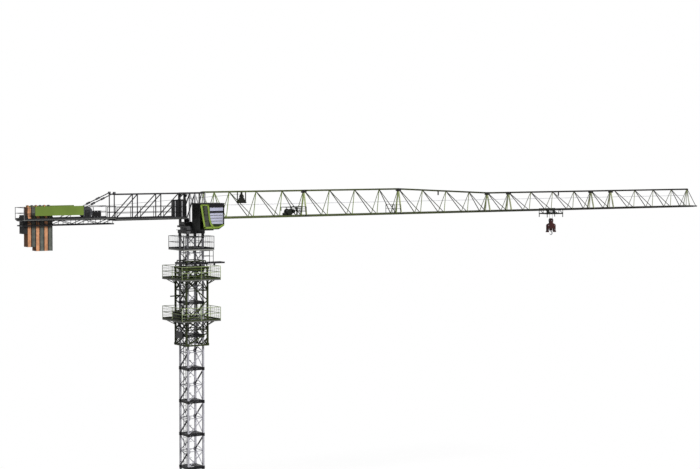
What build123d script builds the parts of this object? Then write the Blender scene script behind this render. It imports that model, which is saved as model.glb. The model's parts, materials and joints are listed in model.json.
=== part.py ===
from build123d import *
import math
import os

# Flat-top tower crane at half its real size, in millimetres. The jib runs along +X, +Z is up,
# and the origin is on the mast's axis at the underside of its feet.

# Mast: square lattice bays bolted on top of each other
bay_count = 9
bay_height = 1400
leg_spacing = 715
leg_side = 72
stub_leg_side = 92
mast_rail_side = 36
mast_rail_inset = 25
mast_brace_side = 30

# Foundation frame under the legs
foot_side = 270
foot_thickness = 20
anchor_spacing = 200
anchor_hole_radius = 12
cross_width = 90
cross_height = 100
cross_half_length = 430

# Ladder inside the mast
ladder_width = 210
ladder_rail_side = 20
rung_side = 12
rung_pitch = 450

# Mast head and slewing ring
head_leg_height = 120
head_frame_side = 850
head_plate_side = 940
head_frame_wall = 100
head_frame_height = 155
head_plate_thickness = 20
ring_outer_radius = 470
manhole_side = 500
ring_height = 50
bearing_gap = 0.5
turntable_side = 880
turntable_height = 80
drive_radius = 55
drive_sides = 8
drive_height = 300
drive_offset = 345

# Levels above the mast's top, read at the centre lines
jib_chord_level = 750
jib_top_level = 1855
counter_chord_level = 765
counter_top_level = 1825
truss_spacing = 475

# Tower head
head_beam_width = 60
head_beam_height = 150
head_post_side = 60
head_rear_reach = 450
head_front_reach = 550
head_brace_side = 36

# Jib: three chords, sections pinned end to end
jib_chord_side = 60
jib_brace_side = 28
jib_strut_side = 24
rail_ledge_width = 27
rail_ledge_thickness = 12
section_length = 5000
insert_length = 1250
jib_depth = jib_top_level - jib_chord_level
jib_tip_depth = 850
foot_lead = 265
end_frame_inset = 20
# Top nodes within a section, as shares of the section's length
standard_node_shares = (0.264, 0.527, 0.79)
root_node_shares = (0.11, 0.255, 0.519, 0.779)
last_node_shares = (0.05, 0.31, 0.55, 0.79)
nose_length = 450

# Counter-jib: a box truss, then a deck between shallow side trusses
truss_chord_side = 50
truss_brace_side = 36
counter_truss_end = 3700
counter_post_shares = (0.0, 0.335, 0.672, 1.0)
deck_end = 7725
deck_depth = 250
deck_level = 850
deck_web_side = 26
deck_web_pitch = 575
floor_thickness = 12
walkway_width = 212

# Railings
rail_side = 20
rail_post_side = 20
middle_rail_share = 0.52
railing_gap = 950
deck_railing_height = 500
platform_railing_height = 550

# Bare boards on the counter-jib's railing
board_start = 5150
board_end = 7250
board_height = 375
board_lift = 163
board_thickness = 10

# Tie rods over the deck
tie_foot = 5950
tie_link_side = 36
tie_rod_side = 22
tie_link_share = 0.42
tie_lug_length = 110
tie_lug_side = 84

# Ballast slabs, hung by their shoulders on the deck's side trusses
slab_thickness = 170
slab_pitch = 179
slab_count = 6
short_slab_count = 2
slab_rear = 7460
slab_side_gap = 7.5
slab_rise = 525
short_slab_drop = 1080
long_slab_drop = 1250
shoulder_height = 130
shoulder_inset = 8
slab_lug_width = 90
slab_lug_height = 75
slab_lug_thickness = 40
end_block_rear = 7650
end_block_thickness = 175
end_block_rise = 200
end_block_drop = 550

# Hoist winch on the deck
winch_place = 4850
drum_radius = 180
drum_flange_radius = 225
drum_flange_thickness = 12
drum_half_length = 180
drum_height = 270
shaft_radius = 30
shaft_clearance = 0.05
winch_plate_gap = 5
winch_plate_thickness = 20
winch_plate_width = 200
winch_base_length = 1150
winch_base_height = 30
winch_base_bar = 60
motor_place = 4420
motor_radius = 105
motor_length = 330
motor_height = 170
motor_sides = 12
gearbox_length = 330
gearbox_width = 90
gearbox_height = 300
motor_foot_length = 240

# Electric cabinets on the near walkway
cabinet_start = 465
cabinet_width = 295
cabinet_gap = 25
cabinet_depth = 190
cabinet_height = 770
cabinet_count = 2

# Cab, hollow, beside the jib's root on the -Y side
cab_rear = -190
cab_front = 925
cab_near = 1200
cab_width = 680
cab_base_level = 320
cab_height = 1060
cab_rear_cut = 190
cab_nose_cut = 250
cab_nose_rise = 155
cab_wall = 24
cab_roof_thickness = 40
cab_roof_overhang = 20
pane_thickness = 8
window_margin = 60
cab_sill_share = 0.22
cab_transom_share = 0.72
cab_door_share = 0.36
transom_height = 26
cab_bearer_height = 36
cab_post_gap = 8
cab_board_thickness = 16
cab_board_gap = 0.3
cab_pillar_width = 40

# Jib winch and railed platforms; their places are shares of a jib section, from the jib's root
jib_winch_share = 0.844
jib_drum_radius = 80
jib_drum_half_length = 95
jib_drum_height = 150
jib_shaft_radius = 15
jib_winch_plate_width = 120
jib_winch_base_length = 520
jib_motor_radius = 60
jib_platform_shares = ((0.902, 0.996), (1.894, 1.994))
jib_railing_height = 375
jib_railing_line = 258
jib_rail_side = 16

# Rope guides hung under the top chord, placed in the same way
guide_sheave_share = 0.376
guide_sheave_radius = 110
guide_sheave_drop = 300
guide_shares = (2.44, 3.85)
guide_drop = 170
guide_width = 60
guide_thickness = 24

# Trolley under the bottom chords
trolley_share = 3.76
trolley_half_length = 490
trolley_plate_gap = 5
trolley_plate_thickness = 12
trolley_plate_top = 135
trolley_plate_drop = 215
trolley_wheel_radius = 36
trolley_wheel_offset = 400
trolley_beam_side = 50
trolley_post_side = 30
trolley_post_drop = 145
trolley_window_margin = 45
wheel_gap = 0.3
wheel_side_gap = 3

# Rope, its sheaves and the hook block
rope_side = 12
rope_gap = 0.3
sheave_radius = 80
sheave_clearance = 92
sheave_width = 36
sheave_drop = 130
sheave_plate_gap = 3
sheave_plate_thickness = 10
block_sheave_drop = 390
cheek_top_radius = 105
cheek_half_width = 240
cheek_foot_half_width = 275
cheek_shoulder_drop = 130
cheek_leg_drop = 565
cheek_leg_inner = 125
cheek_arch_drop = 320
cheek_thickness = 12
cheek_flare_height = 48
spacer_width = 48
cheek_gap = 90
crosshead_drop = 245
crosshead_height = 60
hook_shank_radius = 20
hook_nut_radius = 34
hook_nut_sides = 6
hook_nut_height = 34
hook_gap = 0.3
hook_outer_radius = 95
hook_throat_radius = 48
hook_thickness = 50
hook_bowl_drop = 610
hook_mouth_angle = 62

# Climbing cage round the mast
cage_spacing = 1000
cage_post_side = 70
cage_foot = 8000
cage_top = 11350
cage_bar_side = 60
cage_brace_side = 40
cage_lower_level = 9105
cage_upper_level = 10840
cage_crown_spacing = 870
cage_crown_level = 11590
platform_side = 1835
platform_plate = 20
platform_beam_side = 50
guide_block_width = 60
arm_level = 10120
arm_reach = 1000
arm_side = 44
yoke_level = 8320
yoke_height = 300
yoke_width = 620
yoke_thickness = 60
cylinder_radius = 36
cylinder_rod_radius = 24
cylinder_place = 560
cylinder_rod_share = 0.3
pump_place = 700
pump_side = 220
pump_height = 300

# Loading beam on the cage's +X side
beam_reach = 1500
beam_spacing = 340
beam_side = 60
beam_lift = 90
loading_hook_place = 1100
beam_rest_end = 960
loading_hook_length = 90

# Platform at the mast's top
top_platform_side = 1435
top_platform_drop = 525

# One overrun serves every cut
overrun = 10

# Levels worked out from the sizes above
mast_bottom = foot_thickness
mast_top = mast_bottom + bay_count * bay_height
mast_outer = leg_spacing + leg_side
head_frame_base = mast_top + head_leg_height
ring_base = head_frame_base + head_frame_height
upper_ring_base = ring_base + ring_height + bearing_gap
turntable_base = upper_ring_base + ring_height
turntable_top = turntable_base + turntable_height
jib_chord_height = mast_top + jib_chord_level
jib_top_height = mast_top + jib_top_level
counter_chord_height = mast_top + counter_chord_level
counter_top_height = mast_top + counter_top_level
truss_line = truss_spacing / 2
deck_top = mast_top + deck_level
jib_winch_place = head_front_reach + jib_winch_share * section_length
trolley_place = head_front_reach + trolley_share * section_length
corners = ((-1, -1), (1, -1), (1, 1), (-1, 1))
both_sides = (-1, 1)

os.makedirs("parts", exist_ok=True)


def bar(start, end, width, height=0):
    """A straight bar of rectangular section between two points."""
    run = Vector(*end) - Vector(*start)
    level = Vector(run.Y, -run.X, 0)
    across = level if level.length > 0 else Vector(1, 0, 0)
    frame = Plane(origin=start, x_dir=across, z_dir=run)
    solid = Box(
        width,
        height or width,
        run.length,
        align=(Align.CENTER, Align.CENTER, Align.MIN),
        mode=Mode.PRIVATE,
    )
    return frame.location * solid


def block(low, high):
    """A block from its lowest corner to its highest."""
    size = Vector(*high) - Vector(*low)
    solid = Box(size.X, size.Y, size.Z, align=(Align.MIN, Align.MIN, Align.MIN), mode=Mode.PRIVATE)
    return Location(low) * solid


def post_places(start, end):
    """Evenly spaced points along one stretch of railing, both ends included."""
    run = Vector(*end) - Vector(*start)
    steps = max(1, round(run.length / railing_gap))
    return [Vector(*start) + run * (step / steps) for step in range(steps + 1)]


def railing(route, height, side=rail_side):
    """Posts and two rails along a level route, as bars to be joined."""
    bars = []
    for start, end in zip(route[:-1], route[1:]):
        for place in post_places(start, end):
            bars.append(bar(place, place + Vector(0, 0, height), rail_post_side))
        for lift in (height - side / 2, height * middle_rail_share):
            raised = Vector(0, 0, lift)
            bars.append(bar(Vector(*start) + raised, Vector(*end) + raised, side))
    return bars


def square_route(side, level):
    """The four sides of a level square round the mast, closed."""
    half = side / 2
    loop = [(x * half, y * half, level) for x, y in corners]
    return loop + loop[:1]


def ring_bars(spacing, level, side):
    """A level square ring of bars whose corners are filled."""
    half = spacing / 2
    reach = half + side / 2
    bars = []
    for sign in both_sides:
        bars.append(bar((-reach, sign * half, level), (reach, sign * half, level), side))
        bars.append(bar((sign * half, -reach, level), (sign * half, reach, level), side))
    return bars


def finish(part, name):
    """Label a finished piece and write it."""
    part.label = name
    export_step(part, "parts/" + name + ".step")


# Foundation frame: a foot with two anchor holes under each leg, tied by a diagonal cross
with BuildPart() as foundation_frame:
    with BuildSketch():
        with GridLocations(leg_spacing, leg_spacing, 2, 2):
            Rectangle(foot_side, foot_side)
            with Locations((-anchor_spacing / 2, 0), (anchor_spacing / 2, 0)):
                Circle(anchor_hole_radius, mode=Mode.SUBTRACT)
    extrude(amount=foot_thickness)
    with BuildSketch():
        for turn in (45, 135):
            with Locations(Rotation(0, 0, turn)):
                Rectangle(2 * cross_half_length, cross_width)
    extrude(amount=cross_height)
finish(foundation_frame.part, "foundation_frame")

# One bay of the mast, repeated up to the head
with BuildPart() as mast_bay:
    half = leg_spacing / 2
    low_rail = mast_rail_inset
    high_rail = bay_height - mast_rail_inset
    middle = bay_height / 2
    bars = []
    for x, y in corners:
        bars.append(bar((x * half, y * half, 0), (x * half, y * half, bay_height), leg_side))
    for index in range(4):
        near = [sign * half for sign in corners[index]]
        far = [sign * half for sign in corners[(index + 1) % 4]]
        for level in (low_rail, high_rail):
            bars.append(bar((*near, level), (*far, level), mast_rail_side))
            bars.append(bar((*near, level), (*far, middle), mast_brace_side))
    add(bars)
for index in range(bay_count):
    raised = mast_bay.part.moved(Location((0, 0, mast_bottom + index * bay_height)))
    finish(raised, f"mast_section_{index + 1}")

# Ladder up the inside of the mast's -X face
with BuildPart() as mast_ladder:
    ladder_line = -(leg_spacing - mast_rail_side - ladder_rail_side) / 2
    ladder_foot = mast_bottom + mast_rail_inset
    rung_count = int((mast_top - ladder_foot) / rung_pitch)
    for sign in both_sides:
        side = sign * ladder_width / 2
        add(bar((ladder_line, side, ladder_foot), (ladder_line, side, mast_top), ladder_rail_side))
    rungs = []
    for step in range(rung_count):
        level = ladder_foot + (step + 1 / 2) * rung_pitch
        near = (ladder_line, -ladder_width / 2, level)
        far = (ladder_line, ladder_width / 2, level)
        rungs.append(bar(near, far, rung_side))
    add(rungs)
finish(mast_ladder.part, "mast_ladder")

# Head frame on the mast: stub legs, a box frame and a plate with a square manhole
with BuildPart() as mast_head:
    half = leg_spacing / 2
    stub_top = head_frame_base + head_frame_wall / 2
    for x, y in corners:
        add(bar((x * half, y * half, mast_top), (x * half, y * half, stub_top), stub_leg_side))
    with BuildSketch(Plane.XY.offset(head_frame_base)):
        opening = head_frame_side - 2 * head_frame_wall
        Rectangle(head_frame_side, head_frame_side)
        Rectangle(opening, opening, mode=Mode.SUBTRACT)
    extrude(amount=head_frame_height)
    with BuildSketch(Plane.XY.offset(ring_base - head_plate_thickness)):
        Rectangle(head_plate_side, head_plate_side)
        Rectangle(manhole_side, manhole_side, mode=Mode.SUBTRACT)
    extrude(amount=head_plate_thickness)
finish(mast_head.part, "mast_head")

# Fixed and turning rings of the slewing bearing
for name, base in (("lower", ring_base), ("upper", upper_ring_base)):
    with BuildPart() as slewing_ring:
        with BuildSketch(Plane.XY.offset(base)):
            Circle(ring_outer_radius)
            Rectangle(manhole_side, manhole_side, mode=Mode.SUBTRACT)
        extrude(amount=ring_height)
    finish(slewing_ring.part, f"slewing_ring_{name}")

with BuildPart() as turntable:
    with BuildSketch(Plane.XY.offset(turntable_base)):
        Rectangle(turntable_side, turntable_side)
        Rectangle(manhole_side, manhole_side, mode=Mode.SUBTRACT)
    extrude(amount=turntable_height)
finish(turntable.part, "turntable")

with BuildPart() as slewing_drives:
    with BuildSketch(Plane.XY.offset(turntable_top)):
        with Locations((0, -drive_offset), (0, drive_offset)):
            RegularPolygon(drive_radius, drive_sides)
    extrude(amount=drive_height)
finish(slewing_drives.part, "slewing_drives")

# Railing of the platform round the mast's top
top_platform_level = mast_top - top_platform_drop
with BuildPart() as mast_platform_railing:
    route = square_route(top_platform_side - rail_post_side, top_platform_level)
    add(railing(route, platform_railing_height))
finish(mast_platform_railing.part, "mast_platform_railing")

# Climbing cage: posts, rings, braces, guide blocks, crown, arm and yoke
with BuildPart() as cage_frame:
    half = cage_spacing / 2
    foot_ring = cage_foot + cage_bar_side / 2
    top_ring = cage_top - cage_bar_side / 2
    lower_ring = cage_lower_level - platform_plate - cage_bar_side / 2
    upper_ring = cage_upper_level - platform_plate - cage_bar_side / 2
    rings = (foot_ring, lower_ring, upper_ring, top_ring)
    bars = []
    for x, y in corners:
        bars.append(bar((x * half, y * half, cage_foot), (x * half, y * half, cage_top), cage_post_side))
        crown = cage_crown_spacing / 2
        slope_end = (x * crown, y * crown, cage_crown_level)
        bars.append(bar((x * half, y * half, top_ring), slope_end, cage_brace_side))
    for level in rings:
        bars.extend(ring_bars(cage_spacing, level, cage_bar_side))
    bars.extend(ring_bars(cage_crown_spacing, cage_crown_level, cage_brace_side))
    for index in range(4):
        near = [sign * half for sign in corners[index]]
        far = [sign * half for sign in corners[(index + 1) % 4]]
        for low, high in zip(rings[:-1], rings[1:]):
            if low == lower_ring and index == 1:
                continue
            middle = (low + high) / 2
            bars.append(bar((*near, low), (*far, middle), cage_brace_side))
            bars.append(bar((*far, middle), (*near, high), cage_brace_side))
    inner = cage_spacing / 2 - cage_bar_side / 2
    for level in (foot_ring, top_ring):
        for x, y in corners:
            seat = y * leg_spacing / 2
            far = (x * (inner + overrun), seat, level)
            bars.append(bar((x * mast_outer / 2, seat, level), far, guide_block_width))
    bars.append(bar((-half, 0, arm_level), (-arm_reach, 0, arm_level), arm_side))
    bars.append(bar((-half, -half, arm_level), (-half, half, arm_level), arm_side))
    add(bars)
finish(cage_frame.part, "cage_frame")

# Floors: two on the cage, one at the mast's top, and the railings of the cage's two
with BuildPart() as platform_floors:
    floors = (
        (platform_side, cage_spacing + cage_post_side, cage_lower_level),
        (platform_side, cage_spacing + cage_post_side, cage_upper_level),
        (top_platform_side, mast_outer, top_platform_level),
    )
    for side, opening, level in floors:
        with BuildSketch(Plane.XY.offset(level - platform_plate)):
            Rectangle(side, side)
            Rectangle(opening, opening, mode=Mode.SUBTRACT)
        extrude(amount=platform_plate)
        edge_level = level - platform_beam_side / 2
        add(ring_bars(side - platform_beam_side, edge_level, platform_beam_side))
finish(platform_floors.part, "platform_floors")

with BuildPart() as cage_railings:
    for level in (cage_lower_level, cage_upper_level):
        add(railing(square_route(platform_side - rail_post_side, level), platform_railing_height))
finish(cage_railings.part, "cage_railings")

# Climbing cylinder with its yoke on the -X face, and the pump beside it
with BuildPart() as climbing_gear:
    cage_face = -(cage_spacing + cage_bar_side) / 2
    add(
        block(
            (cage_face - yoke_thickness, -yoke_width / 2, yoke_level),
            (cage_face, yoke_width / 2, yoke_level + yoke_height),
        )
    )
    barrel_top = lower_ring - cage_bar_side
    yoke_top = yoke_level + yoke_height
    rod_length = (barrel_top - yoke_top) * cylinder_rod_share
    with BuildSketch(Plane.XY.offset(yoke_top)):
        with Locations((-cylinder_place, 0)):
            Circle(cylinder_rod_radius)
    extrude(amount=rod_length)
    with BuildSketch(Plane.XY.offset(yoke_top + rod_length)):
        with Locations((-cylinder_place, 0)):
            Circle(cylinder_radius)
    extrude(amount=barrel_top - yoke_top - rod_length)
    add(
        block(
            (cage_face - yoke_thickness, -yoke_width / 2, barrel_top),
            (cage_face, yoke_width / 2, lower_ring),
        )
    )
    add(
        block(
            (-pump_place - pump_side / 2, -pump_side, cage_lower_level),
            (-pump_place + pump_side / 2, pump_side, cage_lower_level + pump_height),
        )
    )
finish(climbing_gear.part, "climbing_gear")

# Loading beam that brings a new bay to the cage, with a small railed stand
with BuildPart() as loading_beam:
    beam_level = cage_top + beam_lift + beam_side / 2
    seat_place = cage_spacing / 2
    rest_start = seat_place - beam_side / 2
    bars = []
    for sign in both_sides:
        side = sign * beam_spacing / 2
        bars.append(bar((rest_start, side, beam_level), (beam_reach, side, beam_level), beam_side))
        bars.append(bar((seat_place, side, cage_top), (seat_place, side, beam_level), beam_side))
        near = (seat_place, side, beam_level + beam_side / 2)
        far = (beam_rest_end, side, beam_level + beam_side / 2)
        bars.extend(railing([near, far], deck_railing_height))
    for place in (seat_place, beam_rest_end, loading_hook_place, beam_reach - beam_side / 2):
        near = (place, -beam_spacing / 2, beam_level)
        bars.append(bar(near, (place, beam_spacing / 2, beam_level), beam_side))
    hang = (loading_hook_place, 0, beam_level - beam_side / 2 - loading_hook_length)
    bars.append(bar((loading_hook_place, 0, beam_level), hang, beam_side))
    add(bars)
finish(loading_beam.part, "loading_beam")

# Tower head between counter-jib and jib
with BuildPart() as tower_head:
    rear = -head_rear_reach + head_post_side / 2
    front = head_front_reach - head_post_side / 2
    centre = (rear + front) / 2
    base_level = turntable_top + head_beam_height / 2
    top_level = counter_top_height
    bars = []
    for sign in both_sides:
        side = sign * truss_line
        near = (-head_rear_reach, side, base_level)
        far = (head_front_reach, side, base_level)
        bars.append(bar(near, far, head_beam_width, head_beam_height))
        near = (-head_rear_reach, side, top_level)
        bars.append(bar(near, (head_front_reach, side, top_level), head_post_side))
        for place in (rear, centre, front):
            bars.append(bar((place, side, base_level), (place, side, top_level), head_post_side))
        for place in (rear, front):
            bars.append(bar((centre, side, top_level), (place, side, base_level), head_brace_side))
    for place in (rear, centre, front):
        for level in (base_level, top_level):
            near = (place, -truss_line, level)
            bars.append(bar(near, (place, truss_line, level), head_post_side))
    root_lug = (head_front_reach, 0, jib_top_height)
    bars.append(bar((front - head_post_side, 0, jib_top_height), root_lug, jib_chord_side))
    add(bars)
finish(tower_head.part, "tower_head")


def jib_section(length, start_depth, end_depth, node_shares):
    """One length of jib, its root end at x = 0 on the bottom chords' centre height."""
    nodes = [share * length for share in node_shares] + [length]
    ends = (end_frame_inset, length - end_frame_inset)
    feet = [node - foot_lead for node in nodes if node - foot_lead > end_frame_inset]
    ledge_level = -(jib_chord_side - rail_ledge_thickness) / 2
    ledge_side = truss_line + (jib_chord_side + rail_ledge_width - overrun) / 2
    ledge_width = rail_ledge_width + overrun

    def top_at(place):
        height = start_depth + (end_depth - start_depth) * place / length
        return (place, 0, height)

    with BuildPart() as section:
        bars = [bar(top_at(0), top_at(length), jib_chord_side)]
        for sign in both_sides:
            side = sign * truss_line
            bars.append(bar((0, side, 0), (length, side, 0), jib_chord_side))
            near = (0, sign * ledge_side, ledge_level)
            far = (length, sign * ledge_side, ledge_level)
            bars.append(bar(near, far, ledge_width, rail_ledge_thickness))
            for place in ends:
                bars.append(bar((place, side, 0), top_at(place), jib_brace_side))
            last_top = end_frame_inset
            for node in nodes:
                foot = node - foot_lead
                node_top = min(node, ends[1])
                if foot > last_top:
                    bars.append(bar(top_at(last_top), (foot, side, 0), jib_brace_side))
                    bars.append(bar((foot, side, 0), top_at(node_top), jib_brace_side))
                last_top = node_top
        for place in (*feet, *ends):
            bars.append(bar((place, -truss_line, 0), (place, truss_line, 0), jib_strut_side))
        add(bars)
        low = (0, -truss_spacing, -truss_spacing)
        add(block(low, (length, truss_spacing, start_depth + truss_spacing)), mode=Mode.INTERSECT)
    return section.part


# The jib, from root to nose
standard_part = jib_section(section_length, jib_depth, jib_depth, standard_node_shares)
insert_part = jib_section(insert_length, jib_tip_depth, jib_tip_depth, ())
jib_parts = (
    jib_section(section_length, jib_depth, jib_depth, root_node_shares),
    standard_part,
    jib_section(section_length, jib_depth, jib_tip_depth, standard_node_shares),
    insert_part,
    jib_section(section_length, jib_tip_depth, jib_tip_depth, standard_node_shares),
    insert_part,
    jib_section(section_length, jib_tip_depth, jib_tip_depth, last_node_shares),
)
jib_lengths = (
    section_length,
    section_length,
    section_length,
    insert_length,
    section_length,
    insert_length,
    section_length,
)
section_start = head_front_reach
for index, section in enumerate(jib_parts):
    placed = section.moved(Location((section_start, 0, jib_chord_height)))
    finish(placed, f"jib_section_{index + 1}")
    section_start += jib_lengths[index]
jib_end = section_start
taper_start = head_front_reach + 2 * section_length
taper_end = taper_start + section_length


def top_chord_height(place):
    """Height of the top chord's centre line at a place along the jib."""
    share = min(1, max(0, (place - taper_start) / (taper_end - taper_start)))
    return jib_top_height - (jib_depth - jib_tip_depth) * share


# Nose: the bottom chords run on to a cross beam and stop, braced from the last frame
with BuildPart() as jib_nose:
    nose_end = jib_end + nose_length
    nose_top = jib_chord_height + jib_tip_depth
    bars = []
    for sign in both_sides:
        side = sign * truss_line
        near = (jib_end, side, jib_chord_height)
        bars.append(bar(near, (nose_end, side, jib_chord_height), jib_chord_side))
        foot = (nose_end - jib_chord_side, side, jib_chord_height)
        bars.append(bar((jib_end + jib_brace_side, 0, nose_top), foot, jib_brace_side))
    far = (jib_end + 2 * jib_brace_side, 0, nose_top)
    bars.append(bar((jib_end, 0, nose_top), far, jib_chord_side))
    cross = nose_end - jib_chord_side / 2
    near = (cross, -truss_line, jib_chord_height)
    bars.append(bar(near, (cross, truss_line, jib_chord_height), jib_chord_side))
    add(bars)
finish(jib_nose.part, "jib_nose")

# Rope guides: a sheave on a bracket near the root, and two hangers further out
with BuildPart() as rope_guides:
    sheave_place = head_front_reach + guide_sheave_share * section_length
    under = top_chord_height(sheave_place) - jib_chord_side / 2
    axle_level = under - guide_sheave_drop + guide_sheave_radius
    plate_inner = jib_chord_side / 2
    for sign in both_sides:
        inner_face = min(sign * plate_inner, sign * (plate_inner + sheave_plate_thickness))
        low = (sheave_place - guide_width / 2, inner_face, axle_level - guide_width / 2)
        far_face = inner_face + sheave_plate_thickness
        add(block(low, (sheave_place + guide_width / 2, far_face, under + jib_brace_side)))
    near = (sheave_place, -plate_inner, axle_level)
    add(bar(near, (sheave_place, plate_inner, axle_level), shaft_radius))
    with BuildSketch(Plane.XZ):
        with Locations((sheave_place, axle_level)):
            Circle(guide_sheave_radius)
    extrude(amount=guide_thickness / 2, both=True)
    for share in guide_shares:
        place = head_front_reach + share * section_length
        under = top_chord_height(place + guide_width / 2) - jib_chord_side / 2 - rope_gap
        low = (place - guide_width / 2, -guide_thickness / 2, under - guide_drop)
        add(block(low, (place + guide_width / 2, guide_thickness / 2, under)))
finish(rope_guides.part, "rope_guides")

# Counter-jib truss behind the tower head
with BuildPart() as counter_jib_truss:
    inset = truss_chord_side / 2
    truss_run = counter_truss_end - head_rear_reach - truss_chord_side
    posts = [-head_rear_reach - inset - share * truss_run for share in counter_post_shares]
    bars = []
    for sign in both_sides:
        side = sign * truss_line
        for level in (counter_chord_height, counter_top_height):
            start = (-head_rear_reach, side, level)
            bars.append(bar(start, (-counter_truss_end, side, level), truss_chord_side))
        for place in posts:
            low = (place, side, counter_chord_height)
            bars.append(bar(low, (place, side, counter_top_height), truss_brace_side))
        for near, far in zip(posts[:-1], posts[1:]):
            low = (far, side, counter_chord_height)
            bars.append(bar(low, (near, side, counter_top_height), truss_brace_side))
    for place in posts:
        for level in (counter_chord_height, counter_top_height):
            bars.append(bar((place, -truss_line, level), (place, truss_line, level), truss_brace_side))
    zigzag = 1
    for near, far in zip(posts[:-1], posts[1:]):
        start = (near, zigzag * truss_line, counter_top_height)
        bars.append(bar(start, (far, -zigzag * truss_line, counter_top_height), truss_brace_side))
        zigzag = -zigzag
    add(bars)
finish(counter_jib_truss.part, "counter_jib_truss")

# Deck behind the truss: two shallow side trusses, cross beams, floors on brackets
deck_outer = truss_line + truss_chord_side / 2
rail_line = deck_outer + walkway_width
truss_floor_top = counter_chord_height + truss_chord_side / 2 + floor_thickness
deck_floor_top = deck_top + floor_thickness
walk_front = head_rear_reach
with BuildPart() as counter_jib_deck:
    high = deck_top - truss_chord_side / 2
    low = deck_top - deck_depth + truss_chord_side / 2
    web_count = round((deck_end - counter_truss_end) / deck_web_pitch)
    web_pitch = (deck_end - counter_truss_end - truss_chord_side) / web_count
    bars = []
    for sign in both_sides:
        side = sign * truss_line
        for level in (low, high):
            start = (-counter_truss_end, side, level)
            bars.append(bar(start, (-deck_end, side, level), truss_chord_side))
        for step in range(web_count):
            place = -counter_truss_end - truss_chord_side / 2 - step * web_pitch
            near_level, far_level = (high, low) if step % 2 == 0 else (low, high)
            near = (place, side, near_level)
            bars.append(bar(near, (place - web_pitch, side, far_level), deck_web_side))
    cross_places = (
        counter_truss_end + truss_chord_side / 2,
        winch_place,
        tie_foot,
        slab_rear - slab_count * slab_pitch - truss_chord_side,
        deck_end - truss_chord_side / 2,
    )
    for place in cross_places:
        for level in (low, high):
            bars.append(bar((-place, -truss_line, level), (-place, truss_line, level), truss_chord_side))
    add(bars)
finish(counter_jib_deck.part, "counter_jib_deck")

with BuildPart() as walkways:
    stretches = (
        (walk_front, counter_truss_end - floor_thickness, truss_floor_top),
        (counter_truss_end, deck_end, deck_floor_top),
    )
    floors = []
    for start, end, top in stretches:
        for sign in both_sides:
            near_edge = min(sign * deck_outer, sign * rail_line)
            far_edge = max(sign * deck_outer, sign * rail_line)
            low = (-end, near_edge, top - floor_thickness)
            floors.append(block(low, (-start, far_edge, top)))
    add(floors)
finish(walkways.part, "walkways")

with BuildPart() as counter_jib_railing:
    line = rail_line - rail_post_side / 2
    bars = []
    for sign in both_sides:
        near = (-walk_front - rail_post_side, sign * line, truss_floor_top)
        step_edge = (-counter_truss_end + 2 * rail_post_side, sign * line, truss_floor_top)
        bars.extend(railing([near, step_edge], deck_railing_height))
        near = (-counter_truss_end - rail_post_side, sign * line, deck_floor_top)
        far = (-deck_end + rail_post_side / 2, sign * line, deck_floor_top)
        bars.extend(railing([near, far], deck_railing_height))
    end_place = -deck_end + rail_post_side / 2
    near = (end_place, -line, deck_floor_top)
    bars.extend(railing([near, (end_place, line, deck_floor_top)], deck_railing_height))
    add(bars)
finish(counter_jib_railing.part, "counter_jib_railing")

with BuildPart() as banner_boards:
    for sign in both_sides:
        near_face = min(sign * rail_line, sign * (rail_line + board_thickness))
        low = (-board_end, near_face, deck_floor_top + board_lift)
        high = (-board_start, near_face + board_thickness, deck_floor_top + board_lift + board_height)
        add(block(low, high))
finish(banner_boards.part, "banner_boards")

# Tie rods from the truss's top corner down to the deck
with BuildPart() as tie_rods:
    bars = []
    head_place = -counter_truss_end + truss_chord_side / 2
    head_level = counter_top_height + truss_chord_side / 2
    for sign in both_sides:
        side = sign * truss_line
        head = Vector(head_place, side, head_level + tie_lug_side / 2)
        foot = Vector(-tie_foot, side, deck_top + tie_lug_side / 2)
        run = foot - head
        joint = head + run * tie_link_share
        lug = run.normalized() * tie_lug_length
        bars.append(bar(head, joint, tie_link_side))
        bars.append(bar(joint, foot, tie_rod_side))
        bars.append(bar(joint - lug / 2, joint + lug / 2, tie_link_side, tie_lug_side))
        head_block = Vector(tie_lug_length / 2, tie_link_side / 2, tie_lug_side / 2)
        for place in (head, foot):
            bars.append(block(place - head_block, place + head_block))
    add(bars)
finish(tie_rods.part, "tie_rods")


def ballast_slab(rear, thickness, rise, drop, lugged):
    """A hanging slab: body, two shoulders on the side trusses and a lifting lug."""
    body_half = truss_line - truss_chord_side / 2 - slab_side_gap
    shoulder_half = deck_outer - shoulder_inset
    with BuildPart() as slab:
        with BuildSketch(Plane.YZ.offset(-rear)):
            with Locations((0, deck_top - drop)):
                Rectangle(2 * body_half, rise + drop, align=(Align.CENTER, Align.MIN))
            with Locations((0, deck_top)):
                Rectangle(2 * shoulder_half, shoulder_height, align=(Align.CENTER, Align.MIN))
        extrude(amount=thickness)
        if lugged:
            with BuildSketch(Plane.YZ.offset(-rear + (thickness - slab_lug_thickness) / 2)):
                with Locations((0, deck_top + rise + slab_lug_height / 2 - overrun / 2)):
                    Rectangle(slab_lug_width, slab_lug_height + overrun)
            extrude(amount=slab_lug_thickness)
    return slab.part


# Ballast: orange and grey slabs in turn, and a short block at the very end
for colour, first in (("orange", 0), ("grey", 1)):
    with BuildPart() as slabs:
        for index in range(first, slab_count, 2):
            drop = short_slab_drop if index < short_slab_count else long_slab_drop
            add(ballast_slab(slab_rear - index * slab_pitch, slab_thickness, slab_rise, drop, True))
    finish(slabs.part, f"ballast_slabs_{colour}")

end_part = ballast_slab(end_block_rear, end_block_thickness, end_block_rise, end_block_drop, False)
finish(end_part, "ballast_end_block")

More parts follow.
